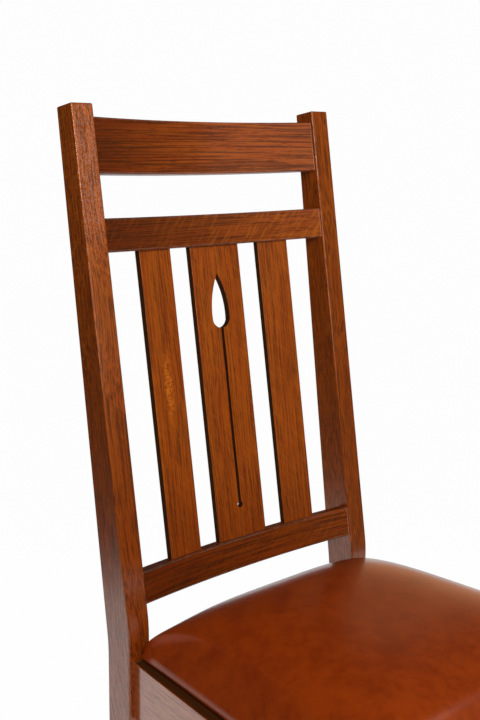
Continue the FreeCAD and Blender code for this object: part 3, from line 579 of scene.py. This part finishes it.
def bare_wood_material(name, turn, light, middle, dark):
    """Planed wood without stain or lacquer."""
    material, net, shader = new_material(name)
    board = net.node("ShaderNodeMapping", {"Vector": net.place(), "Rotation": turn})
    grain = effect(net, "Oak Grain", {
        "Vector": board.outputs[0], "Spacing": 0.005, "Light": opaque(light), "Middle": opaque(middle),
        "Dark": opaque(dark), "Fleck": 0.1, "Figure": 0.5, "Sway": PLAIN_LOOK["sway"],
        "Grain": PLAIN_LOOK["lined"]})
    net.fill(shader, {
        "Base Color": grain["Color"], "Roughness": net.plus(grain["Roughness"], 0.25),
        "Normal": net.bump(grain["Height"], 0.3, 0.0003)})
    return material


# Each corner block's turn in plan, in radians
BLOCKS = {"rear_left_corner_block": -0.75, "rear_right_corner_block": 0.75,
          "front_left_corner_block": 0.75, "front_right_corner_block": -0.75}
# Light, middle and dark of the unfinished woods
HARDWOOD = ((0.66, 0.48, 0.29), (0.55, 0.37, 0.2), (0.36, 0.21, 0.1))
PLYWOOD = ((0.68, 0.52, 0.33), (0.6, 0.43, 0.25), (0.45, 0.29, 0.15))


class CHAIR_OT_corner_blocks(Operator):
    """Finish the corner blocks in planed hardwood"""
    bl_idname = "chair.corner_blocks"
    bl_label = "Corner Blocks"

    def execute(self, context):
        for node, turn in BLOCKS.items():
            dress(node, bare_wood_material("bare_" + node, (QUARTER, turn, 0.0), *HARDWOOD))
        return {"FINISHED"}


class CHAIR_OT_seat_board(Operator):
    """Finish the slip seat's board in plain plywood"""
    bl_idname = "chair.seat_board"
    bl_label = "Seat Board"

    def execute(self, context):
        dress("seat_board", bare_wood_material("plywood_seat_board", LEVEL, *PLYWOOD))
        return {"FINISHED"}


def zinc_material():
    """Zinc plate, made once for all the steel pieces."""
    material = bpy.data.materials.get("zinc_plate")
    if material:
        return material
    material, net, shader = new_material("zinc_plate")
    dull = net.noise(net.place(), 900.0, 3.0, 0.6)
    net.fill(shader, {
        "Base Color": net.blend(dull, (0.5, 0.5, 0.47, 1), (0.72, 0.7, 0.62, 1)),
        "Roughness": net.remap(dull, 0.3, 0.7, 0.25, 0.42), "Metallic": 1.0})
    return material


def mesh_piece(name, points, faces, material, smooth=True):
    """A new object of the chair."""
    mesh = bpy.data.meshes.new(name)
    mesh.from_pydata(points, [], faces, shade_flat=not smooth)
    mesh.update()
    mesh.materials.append(material)
    piece = bpy.data.objects.new(name, mesh)
    bpy.context.scene.collection.objects.link(piece)
    return piece


def skinned(rings, top=None, bottom=None):
    """Points and faces of a skin through rings of equal length, closed by a tip where one is given."""
    points = [point for ring in rings for point in ring]
    size = len(rings[0])
    last = len(points) - size
    pairs = [(step, (step + 1) % size) for step in range(size)]
    faces = [(low + here, low + after, low + size + after, low + size + here)
             for low in range(0, last, size) for here, after in pairs]
    if top is not None:
        faces += [(after, here, len(points)) for here, after in pairs]
        points.append(top)
    if bottom is not None:
        faces += [(last + here, last + after, len(points)) for here, after in pairs]
        points.append(bottom)
    return points, faces


def hardware_piece(name, solids):
    """One steel piece of many small closed solids, their faces turned outward and hard edges kept."""
    points, faces = [], []
    for solid_points, solid_faces in solids:
        base = len(points)
        points += solid_points
        faces += [tuple(base + corner for corner in face) for face in solid_faces]
    piece = mesh_piece(name, points, faces, zinc_material())
    work = bmesh.new()
    work.from_mesh(piece.data)
    bmesh.ops.recalc_face_normals(work, faces=work.faces)
    work.to_mesh(piece.data)
    work.free()
    piece.data.set_sharp_from_angle(angle=math.radians(35))
    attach(piece, "root")
    return piece


def zipped(outer, inner):
    """Triangles between two loops about one centre; each entry is an index and its angle, rising."""
    outer, inner = [[*loop, (loop[0][0], loop[0][1] + FULL_TURN), (None, math.inf)]
                    for loop in (outer, inner)]
    faces, first, second = [], 0, 0
    while min(outer[first + 1][1], inner[second + 1][1]) < math.inf:
        here, there = outer[first][0], inner[second][0]
        if outer[first + 1][1] <= inner[second + 1][1]:
            first += 1
            faces.append((here, outer[first][0], there))
        else:
            second += 1
            faces.append((here, inner[second][0], there))
    return faces


# Share of the head's radius and height at each step of a pan head, from its rim to the recess
PAN_HEAD = ((1.0, 0.0), (1.0, 0.3), (0.96, 0.55), (0.85, 0.78), (0.7, 0.93), (0.52, 1.0))
HEAD_STEPS = 32
# The cross recess: half width and reach over the head's radius, taper, and two heights over the head's
RECESS_WIDE, RECESS_ARM, RECESS_TAPER = 0.12, 0.43, 0.7
RECESS_FOOT, RECESS_TIP = 0.4, 0.3


def pan_head_screw(seat, out, radius, height, shank_radius, shank):
    """A turned screw with a cross recess; its head's underside rests at seat, and it looks out."""
    across = out.orthogonal().normalized()
    along = out.cross(across)

    def spot(x, y, up):
        return seat + across * x + along * y + out * up

    turn = FULL_TURN / HEAD_STEPS
    profile = [(shank_radius, -shank), (shank_radius, 0.0)]
    profile += [(radius * wide, height * tall) for wide, tall in PAN_HEAD]
    rings = [[spot(wide * math.cos(turn * step), wide * math.sin(turn * step), up)
              for step in range(HEAD_STEPS)] for wide, up in profile]
    points, faces = skinned(rings, top=spot(0, 0, -shank - shank_radius))
    rim = len(rings) * HEAD_STEPS - HEAD_STEPS
    wide, arm = RECESS_WIDE * radius, RECESS_ARM * radius
    cross = [(arm, -wide), (arm, wide), (wide, wide)]
    for quarter in range(3):
        cross += [(-y, x) for x, y in cross[-3:]]
    upper = len(points)
    points += [spot(x, y, height) for x, y in cross]
    lower = len(points)
    points += [spot(RECESS_TAPER * x, RECESS_TAPER * y, RECESS_FOOT * height) for x, y in cross]
    points.append(spot(0, 0, RECESS_TIP * height))
    angles = [(upper + number, math.atan2(y, x) % FULL_TURN) for number, (x, y) in enumerate(cross)]
    faces += zipped([(rim + step, turn * step) for step in range(HEAD_STEPS)],
                    sorted(angles, key=lambda entry: entry[1]))
    for number in range(len(cross)):
        after = (number + 1) % len(cross)
        faces.append((upper + number, upper + after, lower + after, lower + number))
        faces.append((lower + number, lower + after, len(points) - 1))
    return points, faces


SHANK_RADIUS = 0.0019
# A block screw's head radius, head height and shank, and how far it sits from the middle of its face
BLOCK_HEAD, BLOCK_HEAD_HEIGHT, BLOCK_SHANK = 0.0042, 0.0026, 0.004
BLOCK_SCREW_REACH = 0.031
FACES_INWARD = 0.97     # least cosine between a sloping face's normal and the way to the seat's middle


def span(spots):
    """The low and high corners of the box round some places."""
    return [[pick(spot[axis] for spot in spots) for axis in AXES] for pick in (min, max)]


class CHAIR_OT_screws(Operator):
    """Drive the screws: one up through each corner block into the seat, two through its sloping face"""
    bl_idname = "chair.screws"
    bl_label = "Screws"

    def execute(self, context):
        holding = hardware_piece("seat_screw_set", [self.seat_screw(block) for block in BLOCKS])
        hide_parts("seat_screws")
        hardware_piece("block_screw_set", [screw for block in BLOCKS for screw in self.block_screws(block)])
        return {"FINISHED"}

    @staticmethod
    def seat_screw(block):
        """The screw that a corner block carries, where its CAD solid is."""
        low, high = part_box(block)
        spots = [corner.co for corner in NODES["seat_screws"].data.vertices
                 if low.x < corner.co.x < high.x and low.y < corner.co.y < high.y]
        if not spots:
            raise RuntimeError("no seat screw in " + block)
        first, last = span(spots)
        seat = Vector(((first[X] + last[X]) / 2, (first[Y] + last[Y]) / 2, low.z))
        return pan_head_screw(seat, DOWN, (last[X] - first[X]) / 2, low.z - first[Z], SHANK_RADIUS,
                              last[Z] - low.z - SHANK_RADIUS)

    @staticmethod
    def block_screws(block):
        """Two screws in the block's sloping face."""
        low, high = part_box(block)
        middle = (low + high) / 2
        inward = Vector((-middle.x, (SEAT_LOW.y + SEAT_HIGH.y) / 2 - middle.y, 0)).normalized()
        mesh = NODES[block].data
        slope = [face for face in mesh.polygons if face.normal.dot(inward) > FACES_INWARD]
        if not slope:
            raise RuntimeError("no sloping face on " + block)
        out = slope[0].normal.copy()
        spots = [mesh.vertices[corner].co for face in slope for corner in face.vertices]
        center = Vector([(first + last) / 2 for first, last in zip(*span(spots))])
        along = out.cross(UP)
        return [pan_head_screw(center + along * reach, out, BLOCK_HEAD, BLOCK_HEAD_HEIGHT, SHANK_RADIUS,
                               BLOCK_SHANK) for reach in (-BLOCK_SCREW_REACH, BLOCK_SCREW_REACH)]


# Places along a staple and over the cloth that it holds, in millimetres
STAPLE = ((-5.0, 0.7), (-4.95, 0.2), (-4.6, -0.2), (-4.0, -0.32), (0.0, -0.34), (4.0, -0.32), (4.6, -0.2),
          (4.95, 0.2), (5.0, 0.7))
# Half the width and thickness of its wire, and the angles of the wire's corners
STAPLE_WIDE, STAPLE_THICK = 0.6 * MM, 0.3 * MM
STAPLE_ANGLES = (0.4, 1.2, 1.94, 2.74, 3.54, 4.34, 5.08, 5.88)


def staple(center, along):
    """A driven staple: a flat crown whose ends go up into the board."""
    side = UP.cross(along)
    spots = [center + along * (reach * MM) + Vector((0, 0, height * MM)) for reach, height in STAPLE]
    rings = []
    for number, spot in enumerate(spots):
        way = (spots[min(number + 1, len(spots) - 1)] - spots[max(number - 1, 0)]).normalized()
        over = way.cross(side)
        rings.append([spot + side * (STAPLE_WIDE * math.cos(angle)) + over * (STAPLE_THICK * math.sin(angle))
                      for angle in STAPLE_ANGLES])
    return skinned(rings, spots[0], spots[-1])


def spread(reach, count):
    """Evenly spaced places from one reach to the other."""
    return [reach * (2 * number / (count - 1) - 1) for number in range(count)]


# Places of a row's staples along the front, the rear and a side
FRONT_STAPLES, REAR_STAPLES = spread(0.122, 10), spread(0.098, 8)
SIDE_STAPLES = [place - 0.054 for place in spread(0.108, 9)]
# How far a row lies in from its sheet's edge, and from the rails' top or the cover's
LEATHER_ROW, COVER_ROW = (0.021, 0.0002), (0.006, -0.0009)


class CHAIR_OT_staples(Operator):
    """Staple the leather and the dust cover under the board, clear of the rails and corner blocks"""
    bl_idname = "chair.staples"
    bl_label = "Staples"

    def execute(self, context):
        cover_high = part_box("dust_cover")[1]
        leather_row = (LEATHER_ROW[0], RAIL_TOP + LEATHER_ROW[1])
        cover_row = (SEAT_HIGH.y - cover_high.y + COVER_ROW[0], cover_high.z + COVER_ROW[1])
        across = Vector((1, 0, 0))
        solids = []
        for inset, height in (leather_row, cover_row):
            for y, places in ((SEAT_LOW.y + inset, FRONT_STAPLES), (SEAT_HIGH.y - inset, REAR_STAPLES)):
                solids += [staple(Vector((x, y, height)), across) for x in places]
            for y in SIDE_STAPLES:
                for side in (-1, 1):
                    place = Vector((side * (half_width(y) - inset / math.cos(SPLAY)), y, height))
                    solids.append(staple(place, Vector((-side * math.sin(SPLAY), math.cos(SPLAY), 0))))
        hardware_piece("seat_staples", solids)
        return {"FINISHED"}


class CHAIR_OT_glides(Operator):
    """Finish the floor glides in moulded nylon"""
    bl_idname = "chair.glides"
    bl_label = "Floor Glides"

    def execute(self, context):
        material, net, shader = new_material("nylon_glides")
        scuff = net.remap(net.noise(net.place(), 420.0, 4.0, 0.7), 0.4, 0.7)
        net.fill(shader, {
            "Base Color": net.blend(scuff, (0.05, 0.042, 0.036, 1), (0.1, 0.09, 0.08, 1)),
            "Roughness": net.remap(scuff, 0, 1, 0.42, 0.62)})
        dress("floor_glides", material)
        return {"FINISHED"}


# Front edge to where the seat's solid is widest, and how far its rounded corners fall short there
WIDEST, CORNER_LOSS = 0.0142, 0.0005


def half_width(y):
    """Half the seat's width at a depth in the chair."""
    return SEAT_HIGH.x + CORNER_LOSS - (y - (SEAT_LOW.y + WIDEST)) * math.tan(SPLAY)


CORNER_STEPS, SIDE_STEPS = 12, 32


def seat_outline(corner, draw_in):
    """The seat's outline in plan with an outward way at each point, anticlockwise from the front."""
    front, rear = SEAT_LOW.y, SEAT_HIGH.y
    corners = [Vector((side * half_width(y), y))
               for side, y in ((1, front), (1, rear), (-1, rear), (-1, front))]
    arcs = []
    for number, tip in enumerate(corners):
        before = (corners[number - 1] - tip).normalized()
        after = (corners[(number + 1) % 4] - tip).normalized()
        half = before.angle(after) / 2
        center = tip + (before + after).normalized() * (corner / math.sin(half))
        start, turn = math.atan2(before.x, -before.y), math.pi - 2 * half
        arc = []
        for step in range(CORNER_STEPS + 1):
            angle = start + turn * step / CORNER_STEPS
            outward = Vector((math.cos(angle), math.sin(angle)))
            arc.append((center + outward * corner, outward))
        arcs.append(arc)
    points = []
    for number, arc in enumerate(arcs):
        points += arc
        (last, out), target = arc[-1], arcs[(number + 1) % 4][0][0]
        for step in range(1, SIDE_STEPS):
            share = step / SIDE_STEPS
            sag = draw_in * 4 * share * (1 - share)
            points.append((last.lerp(target, share) - out * sag, out))
    return points


# Powers that round the stuffed edge and the crown; the first two change where the corners are full
EDGE_POWER, CORNER_POWER, CORNER_FULLNESS, CROWN_POWER = 1.25, 0.75, 1.6, 3.7


def limited(share):
    """A share kept between none and all."""
    return min(max(share, 0.0), 1.0)


def seat_height(leather, point):
    """The leather's height over the seat rails, as measured from the photograph's silhouette."""
    side = (half_width(point.y) - abs(point.x)) * math.cos(SPLAY)
    gaps = (side, SEAT_HIGH.y - point.y, point.y - SEAT_LOW.y)
    near = sorted(gaps)
    mitre = max(2 * leather.corner - (near[1] - near[0]), 0.0)
    edge = near[0] - mitre ** 2 / (8 * leather.corner)
    share = limited(edge / leather.shoulder_reach)
    full = math.exp(-max(near[1], 0.0) / leather.corner_reach)
    rise = (1 - (1 - share) ** (EDGE_POWER + CORNER_POWER * full)) ** (1 / (1 + CORNER_FULLNESS * full))
    swell = leather.crown - leather.shoulder
    for gap in gaps:
        swell *= 1 - (1 - limited(gap / leather.crown_reach)) ** CROWN_POWER
    return leather.lip + (leather.shoulder - leather.lip) * rise + swell


# Distances of the cushion's rings from its edge, in millimetres
INSETS = (0.0, 0.6, 1.4, 2.4, 3.6, 5, 6.6, 8.5, 10.6, 13, 16, 19.5, 23.5, 28, 33, 39, 46, 54, 63, 73, 84, 96,
          109, 123, 138, 153, 168, 181, 191)
# Outward reach and height of the rolled lip and of the leather turned under the board, in millimetres
ROLL = ((0.3, 7.5), (0.48, 6.3), (0.5, 5.2), (0.35, 4.1), (-0.1, 3.1), (-0.9, 2.2), (-2.2, 1.3),
        (-4.0, 0.6), (-7.0, 0.25), (-14.0, 0.2), (-28.0, 0.2), (-29.6, 0.35), (-30.2, 0.9), (-30.0, 1.6),
        (-29.0, 2.2))
HIDE_GLOSS, HIDE_COAT, HIDE_COAT_ROUGHNESS = 0.6, 0.46, 0.18


class CHAIR_OT_cushion(Operator):
    """Upholster the slip seat: leather over foam, domed and turned under the board"""
    bl_idname = "chair.cushion"
    bl_label = "Leather Seat"

    def execute(self, context):
        leather = context.scene.chair_leather
        outline = seat_outline(leather.corner, leather.draw_in)
        center = Vector((0.0, (SEAT_LOW.y + SEAT_HIGH.y) / 2))
        reach = half_width(center.y)

        def raised(place):
            return Vector((place.x, place.y, RAIL_TOP + seat_height(leather, place)))

        rings = [[raised(center.lerp(point, 1 - inset * MM / reach)) for point, outward in outline]
                 for inset in reversed(INSETS)]
        for out, height in ROLL:
            rings.append([Vector((point.x + outward.x * out * MM, point.y + outward.y * out * MM,
                                  RAIL_TOP + height * MM)) for point, outward in outline])
        bottom = Vector((center.x, center.y, RAIL_TOP + ROLL[-1][1] * MM))
        points, faces = skinned(rings, raised(center), bottom)
        faces = [tuple(reversed(face)) for face in faces]
        cushion = mesh_piece("leather_seat", points, faces, self.hide_material(leather))
        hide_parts("seat_leather", "seat_foam")
        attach(cushion, "root")
        return {"FINISHED"}

    @staticmethod
    def hide_material(leather):
        """Rust-brown leather."""
        material, net, shader = new_material("rust_leather")
        hide = effect(net, "Hide", {
            "Light": opaque(leather.light), "Dark": opaque(leather.dark), "Roughness": leather.roughness})
        net.fill(shader, {
            "Base Color": hide["Color"], "Roughness": hide["Roughness"],
            "Specular IOR Level": HIDE_GLOSS, "Specular Tint": opaque(leather.sheen),
            "Coat Weight": HIDE_COAT, "Coat Roughness": HIDE_COAT_ROUGHNESS,
            "Normal": net.bump(hide["Height"], 0.25, 0.0003)})
        return material


COVER_STEPS = 28
COVER_SAG = 0.0022
COVER_TRIM = 0.0013     # how far the cloth's corners stay inside its solid
COVER_DROPS = (0.0001, 0.0007)      # from the solid's top to the cloth's two faces
THREADS = 520.0


class CHAIR_OT_dust_cover(Operator):
    """Stretch the black dust cover under the slip seat"""
    bl_idname = "chair.dust_cover"
    bl_label = "Dust Cover"

    def execute(self, context):
        low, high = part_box("dust_cover")
        cover = mesh_piece("dust_cloth", *self.sagging_sheet(low, high), self.cambric(), smooth=False)
        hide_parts("dust_cover")
        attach(cover, "root")
        return {"FINISHED"}

    @staticmethod
    def cambric():
        """Black cloth in plain weave."""
        material, net, shader = new_material("black_cambric")
        place = net.place()
        weave = [net.node("ShaderNodeTexWave", {"Vector": place, "Scale": THREADS, "Distortion": 0.6},
                          wave_type="BANDS", bands_direction=axis).outputs[1] for axis in ("X", "Y")]
        thread = net.most(*weave)
        net.fill(shader, {
            "Base Color": net.blend(thread, (0.006, 0.006, 0.007, 1), (0.03, 0.03, 0.032, 1)),
            "Roughness": net.remap(thread, 0, 1, 0.95, 0.8), "Normal": net.bump(thread, 0.4, 0.0002)})
        return material

    @staticmethod
    def sagging_sheet(low, high):
        """Points and faces of a thin cloth that follows the splay and sags in its middle."""
        points, faces = [], []
        size = COVER_STEPS + 1
        for drop in COVER_DROPS:
            for row in range(size):
                deep = row / COVER_STEPS
                y = low.y + (high.y - low.y) * deep
                half = high.x - COVER_TRIM - (y - low.y) * math.tan(SPLAY)
                for column in range(size):
                    across = 2 * column / COVER_STEPS - 1
                    sag = COVER_SAG * (1 - across ** 2) * (1 - (2 * deep - 1) ** 2)
                    points.append((half * across, y, high.z - sag - drop))
        count = size * size
        for row in range(COVER_STEPS):
            for column in range(COVER_STEPS):
                first = row * size + column
                quad = (first, first + 1, first + size + 1, first + size)
                faces += [quad, tuple(corner + count for corner in reversed(quad))]
        steps = range(COVER_STEPS)
        rim = [*steps, *(step * size + COVER_STEPS for step in steps), *(count - 1 - step for step in steps),
               *((COVER_STEPS - step) * size for step in steps)]
        faces += [(corner, corner + count, after + count, after)
                  for corner, after in zip(rim, rim[1:] + rim[:1])]
        return points, faces


# Place, target and size of each lamp; the studio's setting of the same name is its power
CHAIR_BACK = (0.0, 0.1, 0.75)
LAMPS = {
    "key": ((-0.9, -1.7, 2.0), CHAIR_BACK, 1.0),
    "fill": ((-1.75, -1.6, 1.35), CHAIR_BACK, 1.0),
    "front": ((0.56, -1.88, 1.3), CHAIR_BACK, 0.9),
    "haze": ((1.02, -1.57, 1.78), CHAIR_BACK, 0.9),
    "side": ((-0.62, 0.72, 0.02), (-0.62, 0.72, 1.0), 0.6),
}
FLOOR_REACH = 6.0
FLOOR_MOTTLE = 0.96
FAR_FLOOR = 0.015
NEAR_FLOOR = (1.7, 1.1)                     # distances between which the floor turns pale
CHAIR_SHADE = (0.28, 0.58, 0.84, 0.985)     # two distances, and how white the floor is there
BEHIND_WAY = (0.75, 0.66, 0.0)
GLOW_WAY = (0.94, 0.34, 0.0)
WARM_GLOW = (1.0, 0.5, 0.25, 1)
BACKDROP, ROOM, ROOM_GLOSS = 0.985, 0.2, 0.02
# The camera as fitted to the photograph, in metres and radians
CAMERA_PLACE = (-0.90379, -0.83507, 1.02834)
YAW, PITCH, ROLL_ANGLE = -0.72464, 0.20872, 0.01377


class CHAIR_OT_stage(Operator):
    """Set the white studio: floor, world, lamps and camera"""
    bl_idname = "chair.stage"
    bl_label = "Studio"

    def execute(self, context):
        studio = context.scene.chair_studio
        context.scene.view_settings.view_transform = "Standard"
        self.lay_floor(studio)
        self.set_world(context.scene)
        for name, (place, target, size) in LAMPS.items():
            self.hang_lamp(name + "_lamp", Vector(place), Vector(target), size, getattr(studio, name))
        self.set_camera(context.scene, studio)
        return {"FINISHED"}

    @staticmethod
    def lay_floor(studio):
        """A pale floor, dark far off; white to the camera, and to gloss near the chair and behind it."""
        material, net, shader = new_material("studio_floor")
        place = net.place()
        mottled = [FLOOR_MOTTLE * part for part in studio.floor]
        paper = net.blend(net.noise(place, 3.0, 3.0), opaque(studio.floor), opaque(mottled))
        away = net.length(place)
        near = net.remap(away, *NEAR_FLOOR)
        behind = net.remap(net.over(net.dot(place, BEHIND_WAY), away), 0.4, 0.85)
        light, mirrored = net.rays()
        seen = net.most(light["Is Camera Ray"], net.times(mirrored, net.most(near, behind)))
        share = net.times(seen, net.remap(away, *CHAIR_SHADE))
        net.fill(shader, {
            "Base Color": net.blend(near, grey(FAR_FLOOR), paper), "Roughness": 0.9,
            "Specular IOR Level": 0.0})
        glow = net.node("ShaderNodeEmission", {"Color": grey(1.0), "Strength": 1.0})
        mixed = net.node("ShaderNodeMixShader", {0: share, 1: shader.outputs[0], 2: glow.outputs[0]})
        net.fill(material.node_tree.nodes["Material Output"], {"Surface": mixed.outputs[0]})
        corners = [(x * FLOOR_REACH, y * FLOOR_REACH, 0) for x, y in ((-1, -1), (1, -1), (1, 1), (-1, 1))]
        floor = mesh_piece("studio_floor", corners, [(0, 1, 2, 3)], material, smooth=False)

    @staticmethod
    def set_world(scene):
        """White to the camera, a warm glow low on the right to gloss, and dim elsewhere."""
        world = bpy.data.worlds.new("studio")
        scene.world = world
        world.use_nodes = True
        net = Net(world.node_tree)
        way = net.node("ShaderNodeTexCoord").outputs["Generated"]
        height = net.parts(way)[Z]
        low = net.remap(height, 0.66, 0.1)
        level = net.math("SQRT", net.less(1.0, net.times(height, height)))
        right = net.remap(net.over(net.dot(way, GLOW_WAY), level), 0.88, 0.945)
        light, mirrored = net.rays()
        room = net.blend(light["Is Diffuse Ray"], grey(ROOM_GLOSS), grey(ROOM))
        warmed = net.blend(net.times(mirrored, net.times(low, right)), room, WARM_GLOW)
        net.fill(world.node_tree.nodes["Background"], {
            "Color": net.blend(light["Is Camera Ray"], warmed, grey(BACKDROP)), "Strength": 1.0})

    @staticmethod
    def hang_lamp(name, place, target, size, power):
        """A square soft lamp that the camera doesn't see."""
        lamp = bpy.data.lights.new(name, "AREA")
        lamp.shape = "SQUARE"
        lamp.size = size
        lamp.energy = power
        holder = bpy.data.objects.new(name, lamp)
        holder.location = place
        holder.visible_camera = False
        holder.rotation_euler = (target - place).to_track_quat("-Z", "Y").to_euler()
        bpy.context.scene.collection.objects.link(holder)

    @staticmethod
    def set_camera(scene, studio):
        """The photograph's camera."""
        forward = Vector((-math.sin(YAW) * math.cos(PITCH), math.cos(YAW) * math.cos(PITCH),
                          -math.sin(PITCH)))
        right = Vector((math.cos(YAW), math.sin(YAW), 0.0))
        up = right.cross(forward)
        across = right * math.cos(ROLL_ANGLE) + up * math.sin(ROLL_ANGLE)
        above = up * math.cos(ROLL_ANGLE) - right * math.sin(ROLL_ANGLE)
        lens = bpy.data.cameras.new("photo_camera")
        lens.sensor_width = 36.0
        lens.lens = studio.lens
        lens.clip_start, lens.clip_end = 0.05, 50.0
        camera = bpy.data.objects.new("photo_camera", lens)
        camera.matrix_world = Matrix.Translation(CAMERA_PLACE) @ Matrix(
            (across, above, -forward)).transposed().to_4x4()
        scene.collection.objects.link(camera)
        scene.camera = camera


OPERATORS = (CHAIR_OT_posts, CHAIR_OT_back_rails, CHAIR_OT_slats, CHAIR_OT_seat_rails, CHAIR_OT_stretchers,
             CHAIR_OT_corner_blocks, CHAIR_OT_seat_board, CHAIR_OT_screws, CHAIR_OT_glides, CHAIR_OT_cushion,
             CHAIR_OT_dust_cover, CHAIR_OT_staples, CHAIR_OT_stage)


class CHAIR_PT_workshop(Panel):
    """The chair's finishes and pieces"""
    bl_label = "Dining Chair"
    bl_space_type = "VIEW_3D"
    bl_region_type = "UI"
    bl_category = "Chair"

    def draw(self, context):
        scene = context.scene
        for operator in OPERATORS:
            self.layout.operator(operator.bl_idname)
        for settings in (scene.chair_oak, scene.chair_leather, scene.chair_studio):
            box = self.layout.box()
            for name in settings.__annotations__:
                box.prop(settings, name)


CLASSES = (OakFinish, SeatLeather, StudioSetup, *OPERATORS, CHAIR_PT_workshop)


def register():
    for item in CLASSES:
        bpy.utils.register_class(item)
    bpy.types.Scene.chair_oak = PointerProperty(type=OakFinish)
    bpy.types.Scene.chair_leather = PointerProperty(type=SeatLeather)
    bpy.types.Scene.chair_studio = PointerProperty(type=StudioSetup)


def unregister():
    del bpy.types.Scene.chair_oak
    del bpy.types.Scene.chair_leather
    del bpy.types.Scene.chair_studio
    for item in reversed(CLASSES):
        bpy.utils.unregister_class(item)


def main():
    register()
    bpy.ops.chair.posts()
    bpy.ops.chair.back_rails()
    bpy.ops.chair.slats()
    bpy.ops.chair.seat_rails()
    bpy.ops.chair.stretchers()
    bpy.ops.chair.corner_blocks()
    bpy.ops.chair.seat_board()
    bpy.ops.chair.screws()
    bpy.ops.chair.glides()
    bpy.ops.chair.cushion()
    bpy.ops.chair.dust_cover()
    bpy.ops.chair.staples()
    bpy.ops.chair.stage()


if __name__ == "__main__":
    main()
